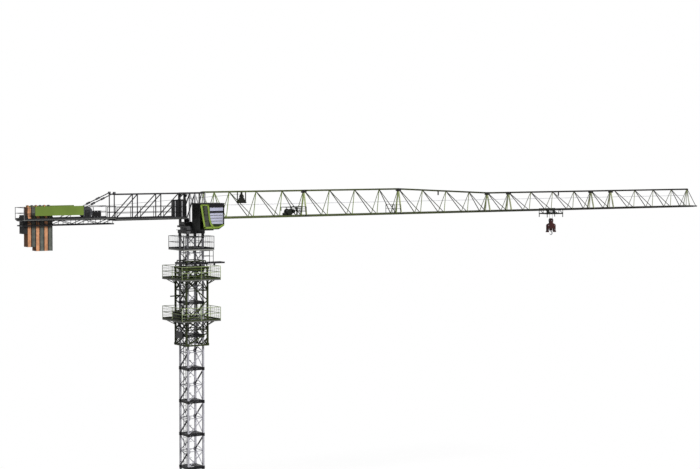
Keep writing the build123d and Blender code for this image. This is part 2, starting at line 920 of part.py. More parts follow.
# Hoist winch: base and bearing plates, drum with shaft, gearbox and motor
drum_level = deck_top + drum_height
drum_half_total = drum_half_length + drum_flange_thickness
plate_inner = drum_half_total + winch_plate_gap
plate_outer = plate_inner + winch_plate_thickness
plate_middle = (plate_inner + plate_outer) / 2
with BuildPart() as hoist_winch_frame:
    base_middle = (winch_place + motor_place) / 2
    base_level = deck_top + winch_base_height / 2
    base_rear = -base_middle - winch_base_length / 2
    base_front = -base_middle + winch_base_length / 2
    bars = []
    for side in (-plate_middle, plate_middle):
        near = (base_rear, side, base_level)
        bars.append(bar(near, (base_front, side, base_level), winch_base_bar, winch_base_height))
    cross_inset = winch_base_bar / 2
    for place in (base_rear + cross_inset, -base_middle, base_front - cross_inset):
        near = (place, -plate_outer, base_level)
        bars.append(bar(near, (place, plate_outer, base_level), winch_base_bar, winch_base_height))
    add(bars)
    for side in (-plate_middle, plate_middle):
        with BuildSketch(Plane.XZ.offset(side)):
            plate_height = drum_height + winch_plate_width / 2
            with Locations((-winch_place, deck_top)):
                Rectangle(winch_plate_width, plate_height, align=(Align.CENTER, Align.MIN))
            with Locations((-winch_place, drum_level)):
                Circle(shaft_radius + shaft_clearance, mode=Mode.SUBTRACT)
        extrude(amount=winch_plate_thickness / 2, both=True)
finish(hoist_winch_frame.part, "hoist_winch_frame")

with BuildPart() as hoist_drum:
    with BuildSketch(Plane.XZ):
        with Locations((-winch_place, drum_level)):
            Circle(shaft_radius)
    extrude(amount=plate_outer, both=True)
    with BuildSketch(Plane.XZ):
        with Locations((-winch_place, drum_level)):
            Circle(drum_radius)
    extrude(amount=drum_half_total, both=True)
    for sign in both_sides:
        with BuildSketch(Plane.XZ.offset(sign * (drum_half_total - drum_flange_thickness / 2))):
            with Locations((-winch_place, drum_level)):
                Circle(drum_flange_radius)
        extrude(amount=drum_flange_thickness / 2, both=True)
finish(hoist_drum.part, "hoist_drum")

with BuildPart() as hoist_motor:
    base_top = deck_top + winch_base_height
    motor_level = base_top + motor_height
    gearbox_face = gearbox_width - plate_outer
    box_low = (-motor_place - gearbox_length / 2, -plate_outer, base_top)
    box_high = (-motor_place + gearbox_length / 2, gearbox_face, base_top + gearbox_height)
    add(block(box_low, box_high))
    with BuildSketch(Plane.XZ.offset(overrun - gearbox_face)):
        with Locations((-motor_place, motor_level)):
            RegularPolygon(motor_radius, motor_sides)
    extrude(amount=-motor_length)
    foot_low = (-motor_place - motor_radius, gearbox_face, base_top)
    foot_high = (-motor_place + motor_radius, gearbox_face + motor_foot_length, motor_level)
    add(block(foot_low, foot_high))
finish(hoist_motor.part, "hoist_motor")

# Electric cabinets on the near walkway
with BuildPart() as electric_cabinets:
    for index in range(cabinet_count):
        start = cabinet_start + index * (cabinet_width + cabinet_gap)
        low = (-start - cabinet_width, -deck_outer - cabinet_depth, truss_floor_top)
        high = (-start, -deck_outer - cabinet_gap / 2, truss_floor_top + cabinet_height)
        add(block(low, high))
finish(electric_cabinets.part, "electric_cabinets")

# Cab: a hollow shell with its openings cut, panes, roof and the frame that carries it
cab_base = mast_top + cab_base_level
cab_top = cab_base + cab_height
cab_far = cab_near - cab_width
window_low = cab_base + cab_sill_share * cab_height
window_high = cab_top - window_margin
transom_level = cab_base + cab_transom_share * cab_height
cab_length = cab_front - cab_rear
door_front = cab_rear + cab_door_share * cab_length
pane_rear = door_front + cab_pillar_width
pane_front = cab_front - cab_pillar_width
side_windows = (
    ((cab_rear + cab_rear_cut, cab_base + 2 * window_margin), (door_front, window_high)),
    ((pane_rear, window_low), (pane_front, transom_level - transom_height / 2)),
    ((pane_rear, transom_level + transom_height / 2), (pane_front, window_high)),
)
front_low = cab_base + cab_nose_rise + cab_pillar_width
front_span = (-cab_near + cab_pillar_width, -cab_far - cab_pillar_width)

with BuildPart() as cab_shell:
    with BuildSketch(Plane.XZ.offset(cab_far)):
        with BuildLine():
            Polyline(
                (cab_rear, cab_top),
                (cab_rear + cab_rear_cut, cab_base),
                (cab_front - cab_nose_cut, cab_base),
                (cab_front, cab_base + cab_nose_rise),
                (cab_front, cab_top),
                close=True,
            )
        make_face()
    extrude(amount=cab_width)
    with BuildSketch(Plane.XZ.offset(cab_far + cab_wall)):
        with BuildLine():
            Polyline(
                (cab_rear + cab_wall, cab_top - cab_wall),
                (cab_rear + cab_rear_cut + cab_wall, cab_base + cab_wall),
                (cab_front - cab_nose_cut, cab_base + cab_wall),
                (cab_front - cab_wall, cab_base + cab_nose_rise + cab_wall),
                (cab_front - cab_wall, cab_top - cab_wall),
                close=True,
            )
        make_face()
    extrude(amount=cab_width - 2 * cab_wall, mode=Mode.SUBTRACT)
    for low, high in side_windows:
        add(
            block((low[0], -cab_near - overrun, low[1]), (high[0], -cab_far + overrun, high[1])),
            mode=Mode.SUBTRACT,
        )
    add(
        block(
            (cab_front - cab_wall - overrun, front_span[0], front_low),
            (cab_front + overrun, front_span[1], window_high),
        ),
        mode=Mode.SUBTRACT,
    )
finish(cab_shell.part, "cab_shell")

with BuildPart() as cab_glazing:
    pane_inset = (cab_wall - pane_thickness) / 2
    for low, high in side_windows:
        for face in (-cab_near + pane_inset, -cab_far - pane_inset - pane_thickness):
            add(block((low[0], face, low[1]), (high[0], face + pane_thickness, high[1])))
    front_face = cab_front - pane_inset - pane_thickness
    add(
        block(
            (front_face, front_span[0], front_low),
            (front_face + pane_thickness, front_span[1], window_high),
        )
    )
finish(cab_glazing.part, "cab_glazing")

with BuildPart() as cab_roof:
    low = (cab_rear - cab_roof_overhang, -cab_near - cab_roof_overhang, cab_top)
    high = (cab_front + cab_roof_overhang, -cab_far + cab_roof_overhang, cab_top + cab_roof_thickness)
    add(block(low, high))
finish(cab_roof.part, "cab_roof")

with BuildPart() as cab_frame:
    bearer_level = cab_base - cab_bearer_height / 2
    post_line = -cab_far + cab_post_gap + cab_bearer_height / 2
    arm_height = turntable_base + cab_bearer_height / 2
    rear_place = cab_rear + cab_rear_cut + cab_bearer_height
    front_place = turntable_side / 2 - cab_bearer_height
    bars = []
    for place in (rear_place, front_place):
        post_foot = (place, post_line, cab_base - cab_bearer_height)
        near = (place, post_line, bearer_level)
        bars.append(bar(near, (place, -cab_near, bearer_level), cab_bearer_height))
        post_head = (place, post_line, arm_height + cab_bearer_height / 2)
        bars.append(bar(post_foot, post_head, cab_bearer_height))
        arm_root = (place, -turntable_side / 2, arm_height)
        bars.append(bar(arm_root, (place, post_line, arm_height), cab_bearer_height))
    board_rear = cab_rear - cab_roof_overhang - cab_board_gap - cab_board_thickness
    for side in (-cab_near + cab_bearer_height / 2, -cab_far):
        shelf_start = (board_rear, side, bearer_level)
        bars.append(bar(shelf_start, (front_place, side, bearer_level), cab_bearer_height))
    board_low = (board_rear, -cab_near, cab_base - cab_bearer_height)
    board_top = cab_top + cab_roof_thickness
    board_high = (board_rear + cab_board_thickness, -cab_far + cab_roof_overhang, board_top)
    bars.append(block(board_low, board_high))
    add(bars)
finish(cab_frame.part, "cab_frame")

# Jib winch between the bottom chords, its drum, and the railed platforms
chord_top = jib_chord_height + jib_chord_side / 2
jib_drum_level = chord_top + jib_drum_height
jib_plate_inner = jib_drum_half_length + winch_plate_gap
jib_plate_outer = jib_plate_inner + trolley_plate_thickness
jib_plate_middle = (jib_plate_inner + jib_plate_outer) / 2
with BuildPart() as jib_winch_frame:
    start = jib_winch_place - jib_winch_base_length / 2
    end = jib_winch_place + jib_winch_base_length / 2
    add(block((start, -truss_line, chord_top), (end, truss_line, chord_top + floor_thickness)))
    for side in (-jib_plate_middle, jib_plate_middle):
        with BuildSketch(Plane.XZ.offset(side)):
            plate_height = jib_drum_height + jib_winch_plate_width / 2
            with Locations((jib_winch_place, chord_top)):
                Rectangle(jib_winch_plate_width, plate_height, align=(Align.CENTER, Align.MIN))
            with Locations((jib_winch_place, jib_drum_level)):
                Circle(jib_shaft_radius + shaft_clearance, mode=Mode.SUBTRACT)
        extrude(amount=trolley_plate_thickness / 2, both=True)
    with BuildSketch(Plane.XZ):
        with Locations((start + jib_motor_radius + floor_thickness, chord_top + jib_motor_radius)):
            RegularPolygon(jib_motor_radius, motor_sides)
    extrude(amount=jib_plate_outer, both=True)
finish(jib_winch_frame.part, "jib_winch_frame")

with BuildPart() as trolley_drum:
    for radius, reach in (
        (jib_shaft_radius, jib_plate_outer),
        (jib_drum_radius, jib_drum_half_length),
    ):
        with BuildSketch(Plane.XZ):
            with Locations((jib_winch_place, jib_drum_level)):
                Circle(radius)
        extrude(amount=reach, both=True)
finish(trolley_drum.part, "trolley_drum")

with BuildPart() as jib_platforms:
    bars = []
    floor_half = truss_line - jib_chord_side / 2
    floor_base = jib_chord_height + jib_strut_side / 2
    floor_top = floor_base + floor_thickness
    for start_share, end_share in jib_platform_shares:
        start = head_front_reach + start_share * section_length
        end = head_front_reach + end_share * section_length
        bars.append(block((start, -floor_half, floor_base), (end, floor_half, floor_top)))
        for sign in both_sides:
            near = (start + rail_post_side, sign * jib_railing_line, chord_top)
            far = (end - rail_post_side, sign * jib_railing_line, chord_top)
            bars.extend(railing([near, far], jib_railing_height, jib_rail_side))
    add(bars)
finish(jib_platforms.part, "jib_platforms")

# Trolley: side frames outside the chords, cross beams below, corner posts
ledge_top = jib_chord_height - jib_chord_side / 2 + rail_ledge_thickness
ledge_outer = truss_line + jib_chord_side / 2 + rail_ledge_width
trolley_plate_inner = ledge_outer + trolley_plate_gap
trolley_plate_outer = trolley_plate_inner + trolley_plate_thickness
trolley_low = jib_chord_height - trolley_plate_drop
wheel_level = ledge_top + wheel_gap + trolley_wheel_radius
sheave_level = jib_chord_height - sheave_drop
fall_offset = sheave_radius + rope_side / 2 + rope_gap
trolley_sheave_offset = 2 * fall_offset
sheave_plate_inner = sheave_width / 2 + sheave_plate_gap
window_height = ledge_top - jib_chord_side - trolley_low - 2 * trolley_window_margin
window_length = trolley_half_length - 2 * trolley_window_margin
window_place = (trolley_half_length - trolley_window_margin / 2) / 2
with BuildPart() as trolley_frame:
    top = jib_chord_height + trolley_plate_top
    rear = trolley_place - trolley_half_length
    front = trolley_place + trolley_half_length
    for sign in both_sides:
        side = sign * (trolley_plate_inner + trolley_plate_thickness / 2)
        with BuildSketch(Plane.XZ.offset(side)):
            with BuildLine():
                Polyline(
                    (rear, trolley_low),
                    (front, trolley_low),
                    (front, top - trolley_beam_side),
                    (front - trolley_beam_side, top),
                    (rear + trolley_beam_side, top),
                    (rear, top - trolley_beam_side),
                    close=True,
                )
            make_face()
            for place in (trolley_place - window_place, trolley_place + window_place):
                with Locations((place, (trolley_low + ledge_top - jib_chord_side) / 2)):
                    Rectangle(window_length, window_height, mode=Mode.SUBTRACT)
        extrude(amount=trolley_plate_thickness / 2, both=True)
    bars = []
    beam_level = trolley_low + trolley_beam_side / 2
    plate_run = trolley_sheave_offset + sheave_clearance + trolley_beam_side
    for sign in both_sides:
        for offset in (trolley_half_length - trolley_beam_side / 2, plate_run):
            place = trolley_place + sign * offset
            near = (place, -trolley_plate_outer, beam_level)
            bars.append(bar(near, (place, trolley_plate_outer, beam_level), trolley_beam_side))
        for side_sign in both_sides:
            place = trolley_place + sign * (trolley_half_length - trolley_post_side / 2)
            side = side_sign * (trolley_plate_outer - trolley_post_side / 2)
            head = (place, side, trolley_low)
            bars.append(bar(head, (place, side, trolley_low - trolley_post_drop), trolley_post_side))
    plate_top = sheave_level + sheave_clearance / 2
    for sign in both_sides:
        side = sign * (sheave_plate_inner + sheave_plate_thickness / 2)
        level = (trolley_low + plate_top) / 2
        near = (trolley_place - plate_run, side, level)
        far = (trolley_place + plate_run, side, level)
        bars.append(bar(near, far, sheave_plate_thickness, plate_top - trolley_low))
    add(bars)
finish(trolley_frame.part, "trolley_frame")


def sheave(place, level, reach):
    """A sheave whose rim the rope rests on, with its pin reaching the plates beside it."""
    with BuildPart() as wheel:
        with BuildSketch(Plane.XZ):
            with Locations((place, level)):
                Circle(sheave_radius)
        extrude(amount=sheave_width / 2, both=True)
        add(bar((place, -reach, level), (place, reach, level), shaft_radius))
    return wheel.part


with BuildPart() as trolley_wheels:
    wheel_inner = truss_line + jib_chord_side / 2 + wheel_side_gap
    for sign in both_sides:
        with BuildSketch(Plane.XZ.offset(-sign * wheel_inner)):
            with Locations(
                (trolley_place - trolley_wheel_offset, wheel_level),
                (trolley_place + trolley_wheel_offset, wheel_level),
            ):
                Circle(trolley_wheel_radius)
        extrude(amount=-sign * (trolley_plate_inner - wheel_inner))
    for sign in both_sides:
        place = trolley_place + sign * trolley_sheave_offset
        add(sheave(place, sheave_level, sheave_plate_inner))
finish(trolley_wheels.part, "trolley_wheels")

# Hook block: two cheeks with a sheave between them, a crosshead, and the hook below
block_level = sheave_level - block_sheave_drop
with BuildPart() as hook_block_frame:
    foot_level = block_level - cheek_leg_drop
    flare_level = foot_level + cheek_flare_height
    shoulder_level = block_level - cheek_shoulder_drop
    for sign in both_sides:
        with BuildSketch(Plane.XZ.offset(sign * (cheek_gap + cheek_thickness) / 2)):
            with Locations((trolley_place, block_level)):
                Circle(cheek_top_radius)
            with BuildLine():
                Polyline(
                    (trolley_place - cheek_top_radius, block_level),
                    (trolley_place - cheek_half_width, shoulder_level),
                    (trolley_place - cheek_half_width, flare_level),
                    (trolley_place - cheek_foot_half_width, foot_level),
                    (trolley_place + cheek_foot_half_width, foot_level),
                    (trolley_place + cheek_half_width, flare_level),
                    (trolley_place + cheek_half_width, shoulder_level),
                    (trolley_place + cheek_top_radius, block_level),
                    close=True,
                )
            make_face()
            with Locations((trolley_place, foot_level - overrun)):
                Rectangle(
                    2 * cheek_leg_inner,
                    cheek_leg_drop + overrun - cheek_arch_drop,
                    align=(Align.CENTER, Align.MIN),
                    mode=Mode.SUBTRACT,
                )
        extrude(amount=cheek_thickness / 2, both=True)
    crosshead_top = block_level - crosshead_drop
    with BuildSketch(Plane.XY.offset(crosshead_top - crosshead_height)):
        with Locations((trolley_place, 0)):
            Rectangle(2 * cheek_leg_inner, cheek_gap)
            Circle(hook_shank_radius + shaft_clearance, mode=Mode.SUBTRACT)
    extrude(amount=crosshead_height)
    for sign in both_sides:
        place = trolley_place + sign * (cheek_leg_inner + cheek_half_width) / 2
        low = (place - spacer_width / 2, -cheek_gap / 2, foot_level + cheek_thickness)
        high = (place + spacer_width / 2, cheek_gap / 2, block_level - cheek_arch_drop)
        add(block(low, high))
finish(hook_block_frame.part, "hook_block_frame")

with BuildPart() as hook_block_sheave:
    add(sheave(trolley_place, block_level, cheek_gap / 2))
finish(hook_block_sheave.part, "hook_block_sheave")

with BuildPart() as rope_falls:
    for sign in both_sides:
        place = trolley_place + sign * fall_offset
        add(bar((place, 0, sheave_level), (place, 0, block_level), rope_side))
finish(rope_falls.part, "rope_falls")

with BuildPart() as hook:
    bowl_level = block_level - hook_bowl_drop
    nut_base = crosshead_top + hook_gap
    with BuildSketch(Plane.XY.offset(nut_base)):
        with Locations((trolley_place, 0)):
            RegularPolygon(hook_nut_radius, hook_nut_sides)
    extrude(amount=hook_nut_height)
    with BuildSketch(Plane.XY.offset(bowl_level + hook_throat_radius)):
        with Locations((trolley_place, 0)):
            Circle(hook_shank_radius)
    extrude(amount=nut_base - bowl_level - hook_throat_radius + overrun)
    with BuildSketch(Plane.XZ.offset(-hook_thickness / 2)):
        with Locations((trolley_place, bowl_level)):
            Circle(hook_outer_radius)
            Circle(hook_throat_radius, mode=Mode.SUBTRACT)
        mouth = 2 * hook_outer_radius
        with BuildLine():
            Polyline(
                (trolley_place, bowl_level),
                (trolley_place - mouth * math.cos(math.radians(hook_mouth_angle)), bowl_level + mouth),
                (trolley_place - mouth, bowl_level + mouth * math.cos(math.radians(hook_mouth_angle))),
                close=True,
            )
        make_face(mode=Mode.SUBTRACT)
    extrude(amount=hook_thickness)
finish(hook.part, "hook")

# Taut hoist rope from the jib's root to its nose, just above the trolley's sheaves
with BuildPart() as jib_rope:
    rope_level = sheave_level + sheave_radius + rope_gap + rope_side / 2
    rope_start = (head_front_reach + end_frame_inset, 0, rope_level)
    rope_end = (nose_end - jib_chord_side / 2, 0, rope_level)
    add(bar(rope_start, rope_end, rope_side))
    anchors = ((rope_start[0], jib_strut_side), (rope_end[0], jib_chord_side))
    for place, beam in anchors:
        top = jib_chord_height - beam / 2
        low_corner = (place - rope_side, -rope_side, rope_level - rope_side)
        add(block(low_corner, (place + rope_side, rope_side, top)))
finish(jib_rope.part, "jib_rope")
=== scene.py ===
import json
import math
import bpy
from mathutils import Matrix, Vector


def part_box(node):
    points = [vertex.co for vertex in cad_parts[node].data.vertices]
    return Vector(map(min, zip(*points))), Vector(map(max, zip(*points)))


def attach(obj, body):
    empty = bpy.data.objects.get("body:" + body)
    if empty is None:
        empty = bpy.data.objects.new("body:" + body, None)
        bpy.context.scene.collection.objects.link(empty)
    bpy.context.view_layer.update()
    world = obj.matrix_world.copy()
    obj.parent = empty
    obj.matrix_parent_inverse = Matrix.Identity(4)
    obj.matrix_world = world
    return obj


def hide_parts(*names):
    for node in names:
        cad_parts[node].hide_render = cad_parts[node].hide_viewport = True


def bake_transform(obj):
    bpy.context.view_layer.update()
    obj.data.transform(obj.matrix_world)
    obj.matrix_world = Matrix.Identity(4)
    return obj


bl_info = {
    "name": "Tower crane dressing",
    "version": (1, 0, 0),
    "blender": (4, 5, 0),
    "location": "View3D > Sidebar > Crane",
    "description": "Finishes and detail pieces for a flat-top tower crane at half its real size",
    "category": "Object",
}

import bmesh
import bpy
from mathutils import Vector

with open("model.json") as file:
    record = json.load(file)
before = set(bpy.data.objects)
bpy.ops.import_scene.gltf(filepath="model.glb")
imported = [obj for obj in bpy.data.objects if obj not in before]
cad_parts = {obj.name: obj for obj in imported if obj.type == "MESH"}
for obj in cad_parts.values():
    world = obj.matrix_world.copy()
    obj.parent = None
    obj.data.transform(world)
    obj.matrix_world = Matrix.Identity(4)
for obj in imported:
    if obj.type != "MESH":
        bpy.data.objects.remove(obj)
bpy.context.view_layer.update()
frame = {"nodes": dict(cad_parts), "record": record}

UP = Vector((0, 0, 1))
ALONG = Vector((1, 0, 0))
ACROSS = Vector((0, 1, 0))
CORNERS = ((-1, -1), (1, -1), (1, 1), (-1, 1))
SIDES = (-1, 1)
JIB_SECTIONS = 7

SLOT_OF_NODE = {row["node"]: row["material_slot"] for row in frame["record"]["subparts"]}


# Sizes and colours a user would change


def length(name, description, default):
    """A length in metres."""
    return bpy.props.FloatProperty(
        name=name, description=description, default=default, min=0.0, unit="LENGTH", subtype="DISTANCE"
    )


def colour(name, description, default):
    """A colour as a hex value."""
    return bpy.props.StringProperty(name=name, description=description, default=default)


class CraneColours(bpy.types.PropertyGroup):
    """Paint colours as sRGB hex values."""

    lime: colour("Lime enamel", "Jib lacing, cab frame and cage railings", "#8ba544")
    pale_lime: colour("Pale lime enamel", "End frames of the jib sections", "#b7c48a")
    olive: colour("Olive enamel", "Jib chords at the root", "#586238")
    lacing: colour("Dark olive enamel", "Long diagonals of the jib", "#303a16")
    tip: colour("Dark enamel", "Jib chords and diagonals towards the tip", "#15150f")
    charcoal: colour("Charcoal enamel", "Tower head and counter-jib", "#2d2d2f")
    cab_board: colour("Board behind the cab", "Flat rear board of the cab", "#141615")
    cab_body: colour("Dark green enamel", "Body and door of the cab", "#222d0e")
    leg: colour("Galvanised steel", "Mast legs", "#aeadb5")
    brace: colour("Weathered galvanised steel", "Mast braces", "#4a4a50")
    joint: colour("Joint enamel", "Mast joints and horizontals", "#141417")
    cage: colour("Cage enamel", "Climbing cage", "#2f3816")
    orange: colour("Orange paint", "Orange ballast slabs", "#dc9a6c")
    slab: colour("Grey paint", "Grey ballast slabs", "#5c6058")
    # The end block's black is painted shade, for a block that lies in shade
    end_block: colour("Painted shade black", "Block at the counter-jib's end", "#070707")
    board: colour("Green board", "Bare boards on the railing", "#70873a")
    # The pale glass colour is painted reflection over a lilac tint
    glass: colour("Glass with painted reflection", "Cab panes", "#c6c8e0")
    maroon: colour("Maroon enamel", "Hook block", "#3a1513")
    trolley: colour("Black-green enamel", "Trolley", "#13170e")
    machinery: colour("Machinery grey", "Winches, motors and cabinets", "#151516")


class MastSizes(bpy.types.PropertyGroup):
    """Mast joints, rails and ladders."""

    bay: length("Bay height", "Distance between mast joints", 1.4)
    bays: bpy.props.IntProperty(name="Bays", description="Number of mast bays", default=9, min=1)
    foot: length("Foot thickness", "Level of the lowest joint", 0.02)
    spacing: length("Leg spacing", "Distance between leg centres", 0.715)
    sleeve: length("Sleeve side", "Width of the sleeve round a leg at a joint", 0.094)
    sleeve_height: length("Sleeve height", "Height of the sleeve over both bays", 0.13)
    rail: length("Joint rail height", "Reach of the joint rails above and below a joint", 0.06)
    # The thick diagonal is finished near-black as painted shade
    diagonal: length("Painted shade diagonal", "Side of the thick diagonal of a bay", 0.044)
    mid_rail: length("Middle rail", "Side of the thin rail at half height", 0.024)
    bolt: length("Bolt radius", "Radius of the joint bolts' heads", 0.012)
    rung_pitch: length("Rung pitch", "Distance between ladder rungs", 0.15)


class RailingSizes(bpy.types.PropertyGroup):
    """Kick boards and infill of the railings."""

    height: length("Railing height", "Height of the railings round the cage", 0.55)
    kick: length("Kick board height", "Height of the board at the foot of a railing", 0.06)
    kick_thickness: length("Kick board thickness", "Sheet thickness of the kick board", 0.006)
    wire: length("Infill wire", "Radius of the infill wires", 0.004)
    wire_pitch: length("Infill pitch", "Distance between infill wires", 0.1)


class JibSizes(bpy.types.PropertyGroup):
    """Jib joints, lifeline and plan bracing."""

    joint_length: length("Joint length", "Length of the fork plates at a jib joint", 0.24)
    chord: length("Chord side", "Side of the three chords", 0.06)
    pin: length("Pin radius", "Radius of the joint pins", 0.02)
    lifeline: length("Lifeline radius", "Radius of the safety wire", 0.005)
    lifeline_height: length("Lifeline height", "Height of the wire over the bottom chords", 0.54)
    brace: length("Plan brace side", "Side of the diagonals between the bottom chords", 0.02)
    line: length("Chord line", "Distance of the bottom chords from the middle", 0.2375)


class MachinerySizes(bpy.types.PropertyGroup):
    """Winch drums, ropes and slab spacing."""

    hoist_barrel: length("Hoist barrel", "Radius of the hoist drum's barrel", 0.18)
    hoist_winding: length("Hoist winding", "Length of the barrel covered with rope", 0.36)
    hoist_rope: length("Hoist rope", "Radius of the hoist rope", 0.0065)
    trolley_barrel: length("Trolley barrel", "Radius of the trolley drum's barrel", 0.08)
    trolley_winding: length("Trolley winding", "Length of the barrel covered with rope", 0.17)
    trolley_rope: length("Trolley rope", "Radius of the trolley rope", 0.004)
    motor: length("Motor radius", "Radius of the hoist motor's housing", 0.105)
    slab_pitch: length("Slab pitch", "Distance between ballast slabs", 0.179)
    # Width of the painted shade line where two ballast slabs meet
    slab_shade_line: length("Slab shadow", "Width of the dark line between two slabs", 0.045)


class StageSettings(bpy.types.PropertyGroup):
    """Camera and lights."""

    lens: bpy.props.FloatProperty(name="Lens", description="Focal length in millimetres", default=95.5)
    camera: bpy.props.FloatVectorProperty(
        name="Camera place",
        description="Camera position",
        size=3,
        default=(-36.39, -69.82, 16.635),
        unit="LENGTH",
    )
    heading: bpy.props.FloatProperty(
        name="Heading",
        description="Camera heading from +Y, clockwise",
        default=math.radians(32.42),
        subtype="ANGLE",
    )
    pitch: bpy.props.FloatProperty(
        name="Pitch", description="Downward tilt of the camera", default=math.radians(2.1), subtype="ANGLE"
    )
    shift: bpy.props.FloatProperty(name="Shift", description="Vertical lens shift", default=-0.036)
    sky: bpy.props.FloatProperty(name="Sky light", description="Strength of the even light", default=0.24)
    sun: bpy.props.FloatProperty(name="Key light", description="Strength of the soft sun", default=3.9)


# Shader steps


def linear(code):
    """A hex sRGB colour as linear red, green and blue, with full cover."""
    values = []
    for place in (1, 3, 5):
        share = int(code[place : place + 2], 16) / 255
        values.append(share / 12.92 if share <= 0.04045 else ((share + 0.055) / 1.055) ** 2.4)
    return (*values, 1.0)


def darker(code, share):
    """A hex colour scaled towards black."""
    return "#" + "".join(f"{round(int(code[i : i + 2], 16) * share):02x}" for i in (1, 3, 5))


def lighter(code, share):
    """A hex colour moved towards white."""
    parts = [255 - (255 - int(code[i : i + 2], 16)) * (1 - share) for i in (1, 3, 5)]
    return "#" + "".join(f"{round(part):02x}" for part in parts)


def put(tree, kind, inputs=None, **settings):
    """Adds a node with its settings; an input takes a value, a socket, or a node's first output."""
    made = tree.nodes.new(kind)
    for name, value in settings.items():
        setattr(made, name, value)
    for key, value in (inputs or {}).items():
        if isinstance(value, bpy.types.Node):
            value = value.outputs[0]
        if isinstance(value, bpy.types.NodeSocket):
            tree.links.new(value, made.inputs[key])
        else:
            made.inputs[key].default_value = value
    return made


def blank(name):
    """An empty material with its tree and its object coordinates."""
    material = bpy.data.materials.new(name)
    material.use_nodes = True
    tree = material.node_tree
    tree.nodes.clear()
    place = put(tree, "ShaderNodeTexCoord").outputs["Object"]
    return material, tree, place


def close(material, tree, inputs):
    """Ends the material in a principled shader with these inputs."""
    shader = put(tree, "ShaderNodeBsdfPrincipled", inputs)
    put(tree, "ShaderNodeOutputMaterial", {"Surface": shader})
    return material


def mottled(tree, place, first, second, size):
    """A colour that drifts between two tones over patches of the given size in metres."""
    cloud = put(tree, "ShaderNodeTexNoise", {"Vector": place, "Scale": 1 / size, "Detail": 4.0})
    ramp = put(tree, "ShaderNodeValToRGB", {0: cloud})
    for element, position, tone in zip(ramp.color_ramp.elements, (0.32, 0.68), (first, second)):
        element.position = position
        element.color = tone
    return ramp.outputs[0]


def streaked(tree, place, size, clean, dirty):
    """Paint with dirt in long vertical streaks, as rain leaves it."""
    stretched = put(tree, "ShaderNodeMapping", {"Vector": place, "Scale": (1.0, 1.0, 0.12)})
    cloud = put(tree, "ShaderNodeTexNoise", {"Vector": stretched, "Scale": 1 / size, "Detail": 3.0})
    share = put(tree, "ShaderNodeMapRange", {0: cloud, 1: 0.52, 2: 0.72, 3: 0.0, 4: 0.45})
    return put(tree, "ShaderNodeMix", {0: share, 6: clean, 7: dirty}, data_type="RGBA").outputs[2]


def relief(tree, place, size, height):
    """The slight orange-peel relief of sprayed paint or cast metal."""
    cloud = put(tree, "ShaderNodeTexNoise", {"Vector": place, "Scale": 1 / size, "Detail": 2.0})
    return put(tree, "ShaderNodeBump", {"Strength": 0.35, "Distance": height, "Height": cloud})


def worn(tree, place, roughness):
    """Roughness that varies by a tenth over hand-sized patches."""
    hand = 0.15
    low, high = roughness - 0.05, roughness + 0.08
    cloud = put(tree, "ShaderNodeTexNoise", {"Vector": place, "Scale": 1 / hand, "Detail": 3.0})
    return put(tree, "ShaderNodeMapRange", {0: cloud, 1: 0.3, 2: 0.7, 3: low, 4: high})


# Materials

# Rain streaks on steel are about a hand wide, and the relief of sprayed paint 12 mm across and 1 mm deep
STREAK = 0.09
SPRAY = (0.012, 0.001)

# Satin paint mirrors little of the bright surroundings, so dark tones stay dark
SATIN = 0.2


def enamel(name, code, shade=0.8, roughness=0.42, patch=0.35):
    """Sprayed enamel on steel: even colour, faint fading in patches, dirt in vertical streaks."""
    material, tree, place = blank(name)
    darker_tone = linear(darker(code, shade))
    paint = mottled(tree, place, linear(code), darker_tone, patch)
    inputs = {
        "Base Color": streaked(tree, place, STREAK, paint, darker_tone),
        "Roughness": worn(tree, place, roughness),
        "Specular IOR Level": SATIN,
        "Normal": relief(tree, place, *SPRAY),
    }
    return close(material, tree, inputs)


def jib_enamel(name, root, tip):
    """Jib enamel whose tone runs from the root colour to a darker one at the tip."""
    material, tree, place = blank(name)
    along = put(tree, "ShaderNodeSeparateXYZ", {0: place})
    run = put(tree, "ShaderNodeMapRange", {0: along, 1: 2.0, 2: 19.0, 3: 0.0, 4: 1.0})
    root_tone = mottled(tree, place, linear(root), linear(darker(root, 0.8)), 0.4)
    darker_tone = mottled(tree, place, linear(tip), linear(darker(tip, 0.75)), 0.4)
    paint = put(tree, "ShaderNodeMix", {0: run, 6: root_tone, 7: darker_tone}, data_type="RGBA").outputs[2]
    inputs = {
        "Base Color": streaked(tree, place, STREAK, paint, linear(darker(tip, 0.7))),
        "Roughness": worn(tree, place, 0.45),
        "Specular IOR Level": SATIN,
        "Normal": relief(tree, place, *SPRAY),
    }
    return close(material, tree, inputs)


